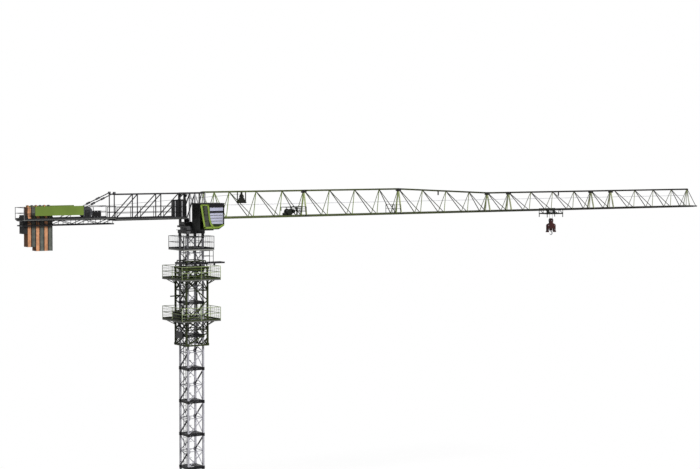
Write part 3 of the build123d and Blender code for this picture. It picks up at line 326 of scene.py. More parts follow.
def leg_steel(colours, sizes):
    """Galvanised legs with dark enamel in a band round each bolted joint."""
    material, tree, place = blank("galvanised steel with enamelled joints")
    zinc = mottled(tree, place, linear(colours.leg), linear(darker(colours.leg, 0.86)), 0.25)
    # Zinc crystals are about 10 mm across; they are drawn 40 mm wide so that they show
    flakes = put(tree, "ShaderNodeTexVoronoi", {"Vector": place, "Scale": 1 / 0.04})
    bright = put(tree, "ShaderNodeMath", {0: flakes, 1: 0.25}, operation="MULTIPLY")
    pale = linear(lighter(colours.leg, 0.4))
    flaked = put(tree, "ShaderNodeMix", {0: bright, 6: zinc, 7: pale}, data_type="RGBA").outputs[2]
    level = put(tree, "ShaderNodeSeparateXYZ", {0: place}).outputs[2]
    above_foot = put(tree, "ShaderNodeMath", {0: level, 1: sizes.foot}, operation="SUBTRACT")
    bays_up = put(tree, "ShaderNodeMath", {0: above_foot, 1: sizes.bay}, operation="DIVIDE")
    bay_share = put(tree, "ShaderNodeMath", {0: bays_up}, operation="FRACT")
    rest_of_bay = put(tree, "ShaderNodeMath", {0: 1.0, 1: bay_share}, operation="SUBTRACT")
    to_joint = put(tree, "ShaderNodeMath", {0: bay_share, 1: rest_of_bay}, operation="MINIMUM")
    reach = sizes.rail / sizes.bay
    band = put(tree, "ShaderNodeMapRange", {0: to_joint, 1: reach, 2: reach * 1.06, 3: 1.0, 4: 0.0})
    dark = mottled(tree, place, linear(colours.joint), linear(darker(colours.joint, 0.75)), 0.1)
    banded = put(tree, "ShaderNodeMix", {0: band, 6: flaked, 7: dark}, data_type="RGBA").outputs[2]
    inputs = {
        "Base Color": banded,
        "Roughness": worn(tree, place, 0.5),
        "Metallic": 0.15,
        "Normal": relief(tree, place, 0.02, 0.001),
    }
    return close(material, tree, inputs)


def slab_painted_shade(tree, place, sizes, code, paint):
    """Slab paint with painted shade: a dark line in the joints between the slabs, and darker rear faces
    turned away from the sun.
    """
    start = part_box("ballast_slabs_orange")[0].x
    along = put(tree, "ShaderNodeSeparateXYZ", {0: place})
    from_start = put(tree, "ShaderNodeMath", {0: along, 1: start}, operation="SUBTRACT")
    slabs = put(tree, "ShaderNodeMath", {0: from_start, 1: sizes.slab_pitch}, operation="DIVIDE")
    share = put(tree, "ShaderNodeMath", {0: slabs}, operation="FRACT")
    # The dark band at the end of each slab's pitch is painted shade where two slabs meet; it lies on sides
    # and tops, not on end faces
    clean = 1 - sizes.slab_shade_line / sizes.slab_pitch
    joint = put(tree, "ShaderNodeMath", {0: share, 1: clean}, operation="GREATER_THAN")
    normal = put(tree, "ShaderNodeNewGeometry").outputs["True Normal"]
    facing = put(tree, "ShaderNodeSeparateXYZ", {0: normal})
    end_on = put(tree, "ShaderNodeMath", {0: facing}, operation="ABSOLUTE")
    sideways = put(tree, "ShaderNodeMath", {0: end_on, 1: 0.5}, operation="LESS_THAN")
    shade_lines = put(tree, "ShaderNodeMath", {0: joint, 1: sideways}, operation="MULTIPLY")
    inputs = {0: shade_lines, 6: paint, 7: linear(darker(code, 0.2))}
    shade_lined = put(tree, "ShaderNodeMix", inputs, data_type="RGBA").outputs[2]
    # The broad rear face of each slab, turned away from the sun, is painted darker as painted shade
    rear = put(tree, "ShaderNodeMath", {0: facing, 1: -0.5}, operation="LESS_THAN")
    rear_shade = put(tree, "ShaderNodeMath", {0: rear, 1: 0.85}, operation="MULTIPLY")
    inputs = {0: rear_shade, 6: shade_lined, 7: linear(darker(code, 0.4))}
    return put(tree, "ShaderNodeMix", inputs, data_type="RGBA").outputs[2]


def cast_slab(name, code, sizes=None):
    """Painted concrete: chalky, pitted, darker where water runs down from the top; given sizes, it also
    carries painted shade between the slabs and on their rear faces.
    """
    material, tree, place = blank(name)
    paint = mottled(tree, place, linear(lighter(code, 0.06)), linear(darker(code, 0.82)), 0.16)
    # Air holes in cast concrete are 3 to 8 mm; they are drawn about 15 mm wide so that they show, and
    # darkened as painted shade inside them
    pits = put(tree, "ShaderNodeTexVoronoi", {"Vector": place, "Scale": 1 / 0.06})
    hole = put(tree, "ShaderNodeMapRange", {0: pits, 1: 0.08, 2: 0.16, 3: 0.5, 4: 0.0})
    inputs = {0: hole, 6: paint, 7: linear(darker(code, 0.5))}
    pitted = put(tree, "ShaderNodeMix", inputs, data_type="RGBA").outputs[2]
    dirty = streaked(tree, place, 0.14, pitted, linear(darker(code, 0.55)))
    if sizes:
        dirty = slab_painted_shade(tree, place, sizes, code, dirty)
    inputs = {"Base Color": dirty, "Roughness": 0.85, "Normal": relief(tree, place, 0.03, 0.003)}
    return close(material, tree, inputs)


def open_grating(code):
    """Galvanised floor grating: bearing bars about 30 mm apart, drawn 60 mm apart so that they show."""
    material, tree, place = blank("galvanised floor grating")
    axes = put(tree, "ShaderNodeSeparateXYZ", {0: place})
    pitch = 0.06
    rows = []
    for axis in (0, 1):
        pitches = put(tree, "ShaderNodeMath", {0: axes.outputs[axis], 1: 1 / pitch}, operation="MULTIPLY")
        share = put(tree, "ShaderNodeMath", {0: pitches}, operation="FRACT")
        rows.append(put(tree, "ShaderNodeMath", {0: share, 1: 0.35}, operation="LESS_THAN"))
    bars = put(tree, "ShaderNodeMath", {0: rows[0], 1: rows[1]}, operation="MAXIMUM")
    # The openings between the bars are painted dark, as painted shade seen through the grating
    inputs = {0: bars, 6: linear(darker(code, 0.45)), 7: linear(code)}
    paint = put(tree, "ShaderNodeMix", inputs, data_type="RGBA").outputs[2]
    raised = put(tree, "ShaderNodeBump", {"Strength": 0.6, "Distance": 0.004, "Height": bars})
    inputs = {"Base Color": paint, "Roughness": 0.55, "Metallic": 0.3, "Normal": raised}
    return close(material, tree, inputs)


def laid_wire(name, code):
    """Steel wire rope: strands laid at a slant, drawn 20 mm apart so that they show."""
    material, tree, place = blank(name)
    turned = put(tree, "ShaderNodeMapping", {"Vector": place, "Rotation": (0.6, 0.6, 0.6)})
    inputs = {"Vector": turned, "Scale": 1 / 0.02, "Distortion": 0.4}
    strands = put(tree, "ShaderNodeTexWave", inputs).outputs["Fac"]
    # The grooves between the strands are painted darker as painted shade
    inputs = {0: strands, 6: linear(darker(code, 0.6)), 7: linear(code)}
    paint = put(tree, "ShaderNodeMix", inputs, data_type="RGBA").outputs[2]
    raised = put(tree, "ShaderNodeBump", {"Strength": 0.5, "Distance": 0.002, "Height": strands})
    inputs = {"Base Color": paint, "Roughness": 0.45, "Metallic": 0.7, "Normal": raised}
    return close(material, tree, inputs)


def bright_steel(name, code, roughness, grain):
    """Machined or forged steel: metallic, with fine tool marks."""
    material, tree, place = blank(name)
    marks = put(tree, "ShaderNodeTexNoise", {"Vector": place, "Scale": 1 / grain, "Detail": 5.0})
    inputs = {0: marks, 6: linear(darker(code, 0.75)), 7: linear(lighter(code, 0.1))}
    paint = put(tree, "ShaderNodeMix", inputs, data_type="RGBA").outputs[2]
    inputs = {
        "Base Color": paint,
        "Roughness": roughness,
        "Metallic": 0.85,
        "Normal": relief(tree, place, grain, 0.001),
    }
    return close(material, tree, inputs)


def tinted_pane(name, code, cover):
    """Laminated cab glass: glossy, mostly mirrors the bright surroundings; a pale base colour adds a
    painted reflection of them.
    """
    material, tree, place = blank(name)
    veil = mottled(tree, place, linear(code), linear(darker(code, 0.9)), 0.5)
    inputs = {"Base Color": veil, "Roughness": 0.08, "IOR": 1.5, "Coat Weight": 0.6, "Alpha": cover}
    return close(material, tree, inputs)


def make_finishes(colours, mast, machinery):
    """All materials of the crane, by short name."""
    return {
        # Pale lilac-grey legs with a black band at each joint
        "leg": leg_steel(colours, mast),
        # Darker, duller grey than the legs, so the lattice reads against them
        "brace": enamel("weathered galvanised steel", colours.brace, 0.75, 0.55),
        # Near black, slightly glossy
        "joint": enamel("dark joint enamel", colours.joint),
        # Cool bright grey with a soft shine
        "zinc": bright_steel("galvanised small parts", "#9b9aa2", 0.5, 0.04),
        # Grey-green at the root, nearly black at the tip
        "chord": jib_enamel("olive chord enamel", colours.olive, colours.tip),
        # The fresh yellow-green that gives the jib its colour
        "lacing": jib_enamel("lime lacing enamel", colours.lime, "#8b9267"),
        # The long diagonals read as dark lines between the lime ones
        "dark lacing": jib_enamel("dark lacing enamel", colours.lacing, colours.tip),
        # End frames, washed out against the sky
        "frame": jib_enamel("pale frame enamel", colours.pale_lime, "#a9b088"),
        # Saturated yellow-green, satin
        "lime": enamel("lime enamel", colours.lime),
        # Light lime tubes that almost vanish against the sky
        "pale lime": enamel("pale lime railing enamel", "#9dae78"),
        # Near black at the jib's joints and tip
        "tip": enamel("dark tip enamel", colours.tip),
        # Even dark grey of the tower head and counter-jib
        "charcoal": enamel("charcoal enamel", colours.charcoal),
        # Matt green-black sheet
        "cab board": enamel("matt cab board", colours.cab_board, 0.88, 0.6),
        # Dark green between the cab's lime bars
        "cab body": enamel("dark green cab enamel", colours.cab_body),
        # Dark olive, dull
        "cage": enamel("cage enamel", colours.cage, 0.75, 0.5),
        # Chalky pale orange, dark where water runs, with painted shade between the slabs and on their rear
        # faces
        "orange": cast_slab("orange painted concrete", colours.orange, machinery),
        # Chalky green-grey, with painted shade between the slabs and on their rear faces
        "slab": cast_slab("grey painted concrete", colours.slab, machinery),
        # Black all over, no shine: painted shade for the rearmost ballast block, which lies in shade
        "end block": cast_slab("concrete blackened as painted shade", colours.end_block),
        # Smooth even green sheet
        "board": enamel("green coated board", colours.board, 0.9, 0.35, 0.8),
        # Pale lilac: a lilac tint made pale as painted reflection of the bright surroundings, which the
        # gloss mirrors as well
        "glass": tinted_pane("safety glass with painted reflection", colours.glass, 0.85),
        # The door's glass, nearly black green
        "door glass": tinted_pane("dark door glass", darker(colours.cab_body, 0.8), 0.95),
        # Dark red-brown, satin
        "maroon": enamel("maroon enamel", colours.maroon),
        # Nearly black green
        "trolley": enamel("black-green enamel", colours.trolley),
        # Neutral dark grey of motors and cabinets
        "machinery": enamel("machinery enamel", colours.machinery, 0.75, 0.38),
        # Light grey strips on the cabinets and slewing unit
        "pale trim": enamel("pale grey trim enamel", "#b9b9bc", 0.85),
        # Thin black-grey tube
        "railing": enamel("dark railing enamel", "#1b1b1d"),
        # Thin light tube, almost lost against the sky
        "pale railing": enamel("pale railing enamel", "#77787a"),
        # Grey mesh of bars over gaps painted dark as painted shade
        "grating": open_grating("#83847f"),
        # Dark oiled steel with small bright marks
        "bearing": bright_steel("oiled bearing steel", "#4b4c50", 0.35, 0.01),
        # Grey scale on forged steel
        "forging": bright_steel("forged hook steel", "#77777c", 0.5, 0.02),
        # The brightest metal, a clear line along the cylinder
        "chrome": bright_steel("hard-chromed rod", "#c9cad0", 0.15, 0.05),
        # Twisted strands, grey to black, the darker grooves between them painted shade
        "rope": laid_wire("wire rope", "#56565a"),
        # Black, dull
        "rubber": enamel("black rubber", "#0b0b0d", 0.7, 0.7),
    }


FINISH_OF_SLOT = {
    "mast_paint": "joint",
    "dark_steel": "charcoal",
    "grey_machinery": "machinery",
    "grey_railing": "railing",
    "deck_grating": "grating",
    "bearing_steel": "bearing",
    "cage_paint": "cage",
    "lime_paint": "lime",
    "green_board": "board",
    "orange_paint": "orange",
    "slab_grey": "slab",
    "trolley_paint": "trolley",
    "maroon_paint": "maroon",
    "forged_steel": "forging",
    "wire_rope": "rope",
    "cab_glass": "glass",
}

FINISH_OF_NODE = {
    # The rearmost ballast block is painted black as painted shade
    "ballast_end_block": "end block",
    "mast_ladder": "brace",
    "cab_shell": "cab body",
    "cab_roof": "cab board",
    "cab_frame": "cab board",
    "jib_nose": "tip",
    "jib_platforms": "trolley",
    "jib_winch_frame": "trolley",
    "rope_guides": "tip",
    "cage_railings": "pale lime",
    "mast_platform_railing": "pale railing",
    "climbing_gear": "joint",
    "slewing_ring_lower": "joint",
    "slewing_ring_upper": "joint",
}

finishes = {}


def paint_polygons(name, names, choose):
    """Gives a CAD node several finishes; choose(corners) names the one for a polygon."""
    node = frame["nodes"][name]
    data = node.data
    turn = node.matrix_world
    data.materials.clear()
    for finish in names:
        data.materials.append(finishes[finish])
    for polygon in data.polygons:
        corners = [turn @ data.vertices[index].co for index in polygon.vertices]
        polygon.material_index = names.index(choose(corners))


def centre(corners):
    """The middle of a polygon's corners."""
    return sum(corners, Vector()) / len(corners)


def longest_edge(corners):
    """The longest edge of a polygon, as a vector of length one."""
    runs = [second - first for first, second in zip(corners, corners[1:] + corners[:1])]
    return max(runs, key=lambda run: run.length).normalized()


def top_chord_line(chord):
    """A function for the centre height of the jib's top chord, which falls along the third section."""
    start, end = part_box("jib_section_3")[0].x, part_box("jib_section_3")[1].x
    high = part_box("jib_section_1")[1].z - chord / 2
    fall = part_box("jib_section_1")[1].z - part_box("jib_section_5")[1].z
    return lambda place: high - fall * min(1.0, max(0.0, (place - start) / (end - start)))


# Mesh building


def add_bar(mesh, start, end, width, height=0.0):
    """A rectangular bar between two points; its height stands upright where it can."""
    start, end = Vector(start), Vector(end)
    run = (end - start).normalized()
    level = run.cross(UP)
    level = level.normalized() if level.length > 0.001 else ALONG.copy()
    upright = level.cross(run)
    across = level * width / 2
    rise = upright * (height or width) / 2
    corners = [mesh.verts.new(place + a * across + b * rise) for place in (start, end) for a, b in CORNERS]
    for face in ((3, 2, 1, 0), (4, 5, 6, 7), (0, 1, 5, 4), (1, 2, 6, 5), (2, 3, 7, 6), (3, 0, 4, 7)):
        mesh.faces.new([corners[i] for i in face])


def add_block(mesh, low, high):
    """A block between its lowest and highest corners."""
    middle_y = (low[1] + high[1]) / 2
    middle_z = (low[2] + high[2]) / 2
    width, height = high[1] - low[1], high[2] - low[2]
    add_bar(mesh, (low[0], middle_y, middle_z), (high[0], middle_y, middle_z), width, height)


def add_turned(mesh, base, axis, outline, steps=24):
    """A turned solid: outline pairs are radius and distance along the axis from the base."""
    base, axis = Vector(base), Vector(axis).normalized()
    side = axis.orthogonal().normalized()
    other = axis.cross(side)
    rings = []
    for radius, along in outline:
        ring = []
        for step in range(steps):
            angle = 2 * math.pi * step / steps
            offset = side * math.cos(angle) * radius + other * math.sin(angle) * radius
            ring.append(mesh.verts.new(base + axis * along + offset))
        rings.append(ring)
    for low, high in zip(rings[:-1], rings[1:]):
        for step in range(steps):
            following = (step + 1) % steps
            mesh.faces.new((low[step], low[following], high[following], high[step]))
    mesh.faces.new(list(reversed(rings[0])))
    mesh.faces.new(rings[-1])


def add_rod(mesh, base, axis, radius, length, steps):
    """A plain cylinder that starts at the base."""
    add_turned(mesh, base, axis, [(radius, 0), (radius, length)], steps)


def add_prism(mesh, outline, start, direction):
    """A flat outline of points pushed along a direction."""
    near = [mesh.verts.new(Vector(point) + Vector(start)) for point in outline]
    far = [mesh.verts.new(vertex.co + Vector(direction)) for vertex in near]
    mesh.faces.new(list(reversed(near)))
    mesh.faces.new(far)
    count = len(near)
    for step in range(count):
        following = (step + 1) % count
        mesh.faces.new((near[step], near[following], far[following], far[step]))


def settle(name, data, body):
    """Adds a mesh to the scene as a piece on a body, or on none."""
    made = bpy.data.objects.new(name, data)
    bpy.context.scene.collection.objects.link(made)
    if body:
        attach(made, body)
    return made


def piece(name, mesh, finish, body, smooth=False):
    """Turns the built mesh into a finished piece; smooth shading keeps edges over 35 degrees sharp."""
    bmesh.ops.recalc_face_normals(mesh, faces=mesh.faces)
    data = bpy.data.meshes.new(name)
    mesh.to_mesh(data)
    mesh.free()
    data.materials.append(finishes[finish])
    if smooth:
        data.polygons.foreach_set("use_smooth", [True] * len(data.polygons))
        data.set_sharp_from_angle(angle=math.radians(35))
    return settle(name, data, body)


# Geometry Nodes trees


def start_tree(name, sizes):
    """A geometry tree with a named input for each size and one for the material."""
    tree = bpy.data.node_groups.new(name, "GeometryNodeTree")
    tree.interface.new_socket("Geometry", in_out="OUTPUT", socket_type="NodeSocketGeometry")
    for label, kind in {"Geometry": "Geometry", **sizes, "Material": "Material"}.items():
        tree.interface.new_socket(label, in_out="INPUT", socket_type="NodeSocket" + kind)
    given = put(tree, "NodeGroupInput")
    return tree, given.outputs


def end_tree(tree, given, geometry):
    """Realizes the instances, sets the material and closes the tree."""
    real = put(tree, "GeometryNodeRealizeInstances", {0: geometry})
    finished = put(tree, "GeometryNodeSetMaterial", {0: real, "Material": given["Material"]})
    put(tree, "NodeGroupOutput", {0: finished})
    return tree


def wire_tree():
    """Round wire or tube along the edges of the host mesh."""
    tree, given = start_tree("tube along edges", {"Radius": "Float", "Sides": "Int"})
    path = put(tree, "GeometryNodeMeshToCurve", {0: given["Geometry"]})
    section = put(tree, "GeometryNodeCurvePrimitiveCircle", {0: given["Sides"], 4: given["Radius"]})
    inputs = {"Curve": path, "Profile Curve": section, "Fill Caps": True}
    return end_tree(tree, given, put(tree, "GeometryNodeCurveToMesh", inputs))


def bolt_tree():
    """A hexagon head with its washer on each point, standing along the point's outward vector."""
    tree, given = start_tree("bolts on points", {"Head radius": "Float", "Head height": "Float"})
    radius, height = given["Head radius"], given["Head height"]
    outward = put(tree, "GeometryNodeInputNamedAttribute", {"Name": "outward"}, data_type="FLOAT_VECTOR")
    turn = put(tree, "FunctionNodeAlignRotationToVector", {"Vector": outward}, axis="Z")
    head = put(tree, "GeometryNodeMeshCylinder", {"Vertices": 6, "Radius": radius, "Depth": height})
    # Both are half sunk at the point, so the wide, thin washer shows as a rim under the head
    wide = put(tree, "ShaderNodeMath", {0: radius, 1: 1.35}, operation="MULTIPLY")
    thin = put(tree, "ShaderNodeMath", {0: height, 1: 0.4}, operation="MULTIPLY")
    washer = put(tree, "GeometryNodeMeshCylinder", {"Vertices": 10, "Radius": wide, "Depth": thin})
    bolt = put(tree, "GeometryNodeJoinGeometry")
    tree.links.new(head.outputs[0], bolt.inputs[0])
    tree.links.new(washer.outputs[0], bolt.inputs[0])
    inputs = {"Points": given["Geometry"], "Instance": bolt, "Rotation": turn}
    return end_tree(tree, given, put(tree, "GeometryNodeInstanceOnPoints", inputs))


def end_in_line(tree, given, shape, turn=(0.0, 0.0, 0.0)):
    """Closes a tree with copies of a shape, Step apart from Start on."""
    inputs = {"Count": given["Count"], "Start Location": given["Start"], "Offset": given["Step"]}
    line = put(tree, "GeometryNodeMeshLine", inputs, mode="OFFSET")
    inputs = {"Points": line, "Instance": shape, "Rotation": turn}
    return end_tree(tree, given, put(tree, "GeometryNodeInstanceOnPoints", inputs))


def row_tree():
    """A straight row of equal bars, such as rungs or louvres."""
    sizes = {"Count": "Int", "Start": "Vector", "Step": "Vector", "Size": "Vector"}
    tree, given = start_tree("row of bars", sizes)
    return end_in_line(tree, given, put(tree, "GeometryNodeMeshCube", {"Size": given["Size"]}))


def winding_tree():
    """Rope wound side by side on a drum that lies along Y."""
    sizes = {"Count": "Int", "Start": "Vector", "Step": "Vector", "Radius": "Float", "Rope radius": "Float"}
    tree, given = start_tree("rope on a drum", sizes)
    loop = put(tree, "GeometryNodeCurvePrimitiveCircle", {0: 40, 4: given["Radius"]})
    section = put(tree, "GeometryNodeCurvePrimitiveCircle", {0: 6, 4: given["Rope radius"]})
    turn = put(tree, "GeometryNodeCurveToMesh", {"Curve": loop, "Profile Curve": section})
    return end_in_line(tree, given, turn, (math.pi / 2, 0.0, 0.0))


TREE_MAKERS = {"wire": wire_tree, "bolts": bolt_tree, "row": row_tree, "winding": winding_tree}

trees = {}


def grow(name, kind, sizes, finish, body, edges=(), points=(), smooth=False):
    """Runs a tree on a host of edges or points and keeps the result as a plain mesh piece."""
    if kind not in trees:
        trees[kind] = TREE_MAKERS[kind]()
    tree = trees[kind]
    data = bpy.data.meshes.new(name + "_host")
    if edges:
        places = [tuple(end) for edge in edges for end in edge]
        data.from_pydata(places, [(2 * i, 2 * i + 1) for i in range(len(edges))], [])
    else:
        data.from_pydata([tuple(place) for place, _ in points], [], [])
        if points:
            outward = data.attributes.new("outward", "FLOAT_VECTOR", "POINT")
            outward.data.foreach_set("vector", [v for _, direction in points for v in direction])
    host = bpy.data.objects.new(name + "_host", data)
    bpy.context.scene.collection.objects.link(host)
    modifier = host.modifiers.new("grow", "NODES")
    modifier.node_group = tree
    given = {**sizes, "Material": finishes[finish]}
    for item in tree.interface.items_tree:
        if item.item_type == "SOCKET" and item.in_out == "INPUT" and item.name in given:
            modifier[item.identifier] = given[item.name]
    graph = bpy.context.evaluated_depsgraph_get()
    graph.update()
    grown = bpy.data.meshes.new_from_object(host.evaluated_get(graph), depsgraph=graph)
    if not grown.polygons:
        raise RuntimeError(name + " has no faces")
    bpy.data.objects.remove(host)
    grown.name = name
    if smooth:
        grown.polygons.foreach_set("use_smooth", [True] * len(grown.polygons))
    return settle(name, grown, body)


def tubes(name, edges, radius, finish, body, sides=8, smooth=False):
    """Round tube or wire along each edge."""
    return grow(name, "wire", {"Radius": radius, "Sides": sides}, finish, body, edges, smooth=smooth)


def bolt_heads(name, points, radius, height, finish, body):
    """Hexagon heads on points, each point with the direction that its bolt faces."""
    sizes = {"Head radius": radius, "Head height": height}
    return grow(name, "bolts", sizes, finish, body, points=points)


def square_loop(side, level):
    """The four level edges of a square round the mast."""
    half = side / 2
    loop = [(x * half, y * half, level) for x, y in CORNERS]
    return list(zip(loop, loop[1:] + loop[:1]))


def evenly(start, end, pitch):
    """Points spread evenly between two places, both ends included."""
    start, end = Vector(start), Vector(end)
    steps = max(1, round((end - start).length / pitch))
    return [start.lerp(end, step / steps) for step in range(steps + 1)]


# Operators


def paint_mast(mast):
    """Light legs, dark rails at the joints and duller braces between them."""
    half = mast.spacing / 2
    reach = mast.sleeve / 2

    def choose(corners):
        if all(abs(abs(c.x) - half) < reach and abs(abs(c.y) - half) < reach for c in corners):
            return "leg"
        level = abs(longest_edge(corners).z) < 0.1
        return "joint" if level else "brace"

    for index in range(1, mast.bays + 1):
        paint_polygons(f"mast_section_{index}", ["leg", "joint", "brace"], choose)


def paint_jib(jib):
    """Olive chords, lime uprights, dark long diagonals and pale frames at the section ends."""
    top_level = top_chord_line(jib.chord)
    slack = 0.002
    frame_reach = 0.09
    for index in range(1, JIB_SECTIONS + 1):
        low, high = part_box(f"jib_section_{index}")

        def choose(corners):
            middle = centre(corners)
            bottom = all(c.z < low.z + jib.chord + slack for c in corners)
            at_top = all(abs(c.z - top_level(c.x)) < jib.chord * 0.6 for c in corners)
            if at_top or bottom and abs(middle.y) > jib.line - jib.chord:
                return "chord"
            if min(middle.x - low.x, high.x - middle.x) < frame_reach:
                return "frame"
            run = longest_edge(corners)
            return "lacing" if abs(run.x) < 0.6 * abs(run.z) else "dark lacing"

        paint_polygons(f"jib_section_{index}", ["chord", "frame", "lacing", "dark lacing"], choose)


def paint_upperworks():
    """Pale fittings in the tower head, the cab door's dark glass and the deck's pale rear rail."""
    low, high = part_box("tower_head")

    def head(corners):
        middle = centre(corners)
        pale = middle.x > -0.05 and low.z + 0.4 < middle.z < high.z - 0.07
        return "pale trim" if pale else "charcoal"

    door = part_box("cab_glazing")[0].x + 0.22
    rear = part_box("counter_jib_railing")[0].x + 0.03

    def panes(corners):
        return "door glass" if centre(corners).x < door else "glass"

    def railing(corners):
        return "pale railing" if centre(corners).x < rear else "railing"

    paint_polygons("tower_head", ["charcoal", "pale trim"], head)
    paint_polygons("cab_glazing", ["glass", "door glass"], panes)
    paint_polygons("counter_jib_railing", ["railing", "pale railing"], railing)


class CRANE_OT_finishes(bpy.types.Operator):
    """Gives every CAD node its finish"""

    bl_idname = "crane.finishes"
    bl_label = "Finishes"

    def execute(self, context):
        scene = context.scene
        finishes.update(make_finishes(scene.crane_colours, scene.crane_mast, scene.crane_machinery))
        for name, node in frame["nodes"].items():
            if name.startswith(("jib_section", "mast_section")):
                continue
            finish = FINISH_OF_NODE.get(name, FINISH_OF_SLOT[SLOT_OF_NODE[name]])
            node.data.materials.clear()
            node.data.materials.append(finishes[finish])
        paint_mast(scene.crane_mast)
        paint_jib(scene.crane_jib)
        paint_upperworks()
        return {"FINISHED"}


class CRANE_OT_mast_joints(bpy.types.Operator):
    """Sleeves, bolts, joint rails, near-black diagonals painted as shade, and middle rails of the mast bays
    """

    bl_idname = "crane.mast_joints"
    bl_label = "Mast joints"

    def execute(self, context):
        mast = context.scene.crane_mast
        half = mast.spacing / 2
        levels = [mast.foot + index * mast.bay for index in range(mast.bays + 1)]
        sleeves = bmesh.new()
        bolts = []
        for level in levels:
            top = level + mast.sleeve_height / 2
            for x, y in CORNERS:
                base = (x * half, y * half, max(mast.foot, level - mast.sleeve_height / 2))
                add_bar(sleeves, base, (x * half, y * half, top), mast.sleeve)
                reach = mast.sleeve / 2
                for dx, dy in ((x, 0), (0, y)):
                    for lift in (-0.03, 0.03):
                        place = (x * half + dx * reach, y * half + dy * reach, level + lift)
                        if place[2] > mast.foot:
                            bolts.append((place, (dx, dy, 0)))
        piece("mast_sleeves", sleeves, "joint", "mast")
        bolt_heads("mast_joint_bolts", bolts, mast.bolt, 0.014, "joint", "mast")
        # Each bay ends in a rail of its own, so two lie at a joint with a slit between them
        covers = bmesh.new()
        slit, depth = 0.004, 0.04
        height = mast.rail - slit
        for level in levels[1:-1]:
            for lift in SIDES:
                for near, far in square_loop(mast.spacing, level + lift * (slit + height / 2)):
                    add_bar(covers, near, far, depth, height)
        piece("mast_joint_rails", covers, "joint", "mast")
        # Two faces carry one thick near-black diagonal in each bay: painted shade over the braces that lie
        # in shade
        shade_diagonals = bmesh.new()
        for level in levels[:-1]:
            crook = level + mast.bay / 2
            high_end = level + mast.bay - mast.rail
            add_bar(shade_diagonals, (half, -half, high_end), (half, half, crook), mast.diagonal)
            add_bar(shade_diagonals, (-half, half, level + mast.rail), (-half, -half, crook), mast.diagonal)
        piece("mast_painted_shade_diagonals", shade_diagonals, "joint", "mast")
        # Each middle rail starts at a leg in two short flat plates
        rails = bmesh.new()
        for level in levels[:-1]:
            for near, far in square_loop(mast.spacing, level + mast.bay / 2):
                add_bar(rails, near, far, mast.mid_rail)
                run = (Vector(far) - Vector(near)).normalized()
                for lift in (-0.07, 0.07):
                    start = Vector(near) + run * 0.08
                    end = Vector(near) + run * 0.036 + UP * lift
                    add_bar(rails, start, end, 0.012, 0.06)
        piece("mast_middle_rails", rails, "zinc", "mast")
        return {"FINISHED"}


class CRANE_OT_ladder(bpy.types.Operator):
    """Hoops, finer rungs and rest plates of the mast ladder"""

    bl_idname = "crane.ladder"
    bl_label = "Mast ladder"

    def execute(self, context):
        mast = context.scene.crane_mast
        low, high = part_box("mast_ladder")
        middle = (low.x + high.x) / 2
        rungs = {
            "Count": int((high.z - low.z - mast.rung_pitch) / mast.rung_pitch),
            "Start": (middle, 0.0, low.z + mast.rung_pitch),
            "Step": (0.0, 0.0, mast.rung_pitch),
            "Size": (0.012, high.y - low.y, 0.012),
        }
        grow("ladder_rungs", "row", rungs, "brace", "mast")
        # Half hoops behind the climber, 0.3 m deep
        hoops = []
        reach = 0.3
        bends = 8
        for place in evenly((0, 0, low.z + 1.1), (0, 0, high.z - 0.1), mast.bay / 4):
            arc = []
            for step in range(bends + 1):
                angle = math.pi * step / bends
                arc.append((middle + reach * math.sin(angle), low.y * math.cos(angle) * 1.3, place.z))
            hoops.extend(zip(arc, arc[1:]))
        tubes("ladder_hoops", hoops, 0.006, "brace", "mast", sides=5)
        # A rest plate covers the ladder's side of the mast at each joint
        plates = bmesh.new()
        inner = mast.spacing / 2 - mast.sleeve / 2
        for index in range(1, mast.bays):
            level = mast.foot + index * mast.bay + mast.rail
            add_block(plates, (-0.04, -inner, level), (inner, inner, level + 0.012))
        piece("ladder_rest_plates", plates, "joint", "mast")
        return {"FINISHED"}


class CRANE_OT_foundation(bpy.types.Operator):
    """Stiffeners and anchor bolts on the feet"""

    bl_idname = "crane.foundation"
    bl_label = "Foundation"

    def execute(self, context):
        mast = context.scene.crane_mast
        half = mast.spacing / 2
        plates = bmesh.new()
        nuts = []
        thick, rise = 0.012, 0.09
        for x, y in CORNERS:
            for sign in SIDES:
                edge = y * half + sign * 0.135
                leg = y * half + sign * 0.036
                outline = [(0, leg, mast.foot), (0, edge, mast.foot), (0, leg, mast.foot + rise)]
                add_prism(plates, outline, (x * half - thick / 2, 0, 0), (thick, 0, 0))
                place = (x * half + sign * 0.1, y * half, mast.foot + 0.01)
                nuts.append((place, (0, 0, 1)))
        piece("foot_stiffeners", plates, "joint", "mast")
        bolt_heads("anchor_nuts", nuts, 0.022, 0.02, "zinc", "mast")
        return {"FINISHED"}


def kick_boards(name, side, floors, sizes, finish):
    """Boards on edge round the foot of each square railing."""
    boards = bmesh.new()
    for floor in floors:
        for near, far in square_loop(side, floor + sizes.kick / 2):
            add_bar(boards, near, far, sizes.kick_thickness, sizes.kick)
    piece(name, boards, finish, "mast")


def upright_wires(name, side, floors, height, sizes, finish):
    """Upright infill wires along each square railing, up to just under its top rail."""
    wires = []
    for floor in floors:
        for near, far in square_loop(side, floor):
            for place in evenly(near, far, sizes.wire_pitch)[1:-1]:
                wires.append((place, place + UP * (height - 0.02)))
    tubes(name, wires, sizes.wire, finish, "mast", sides=5)


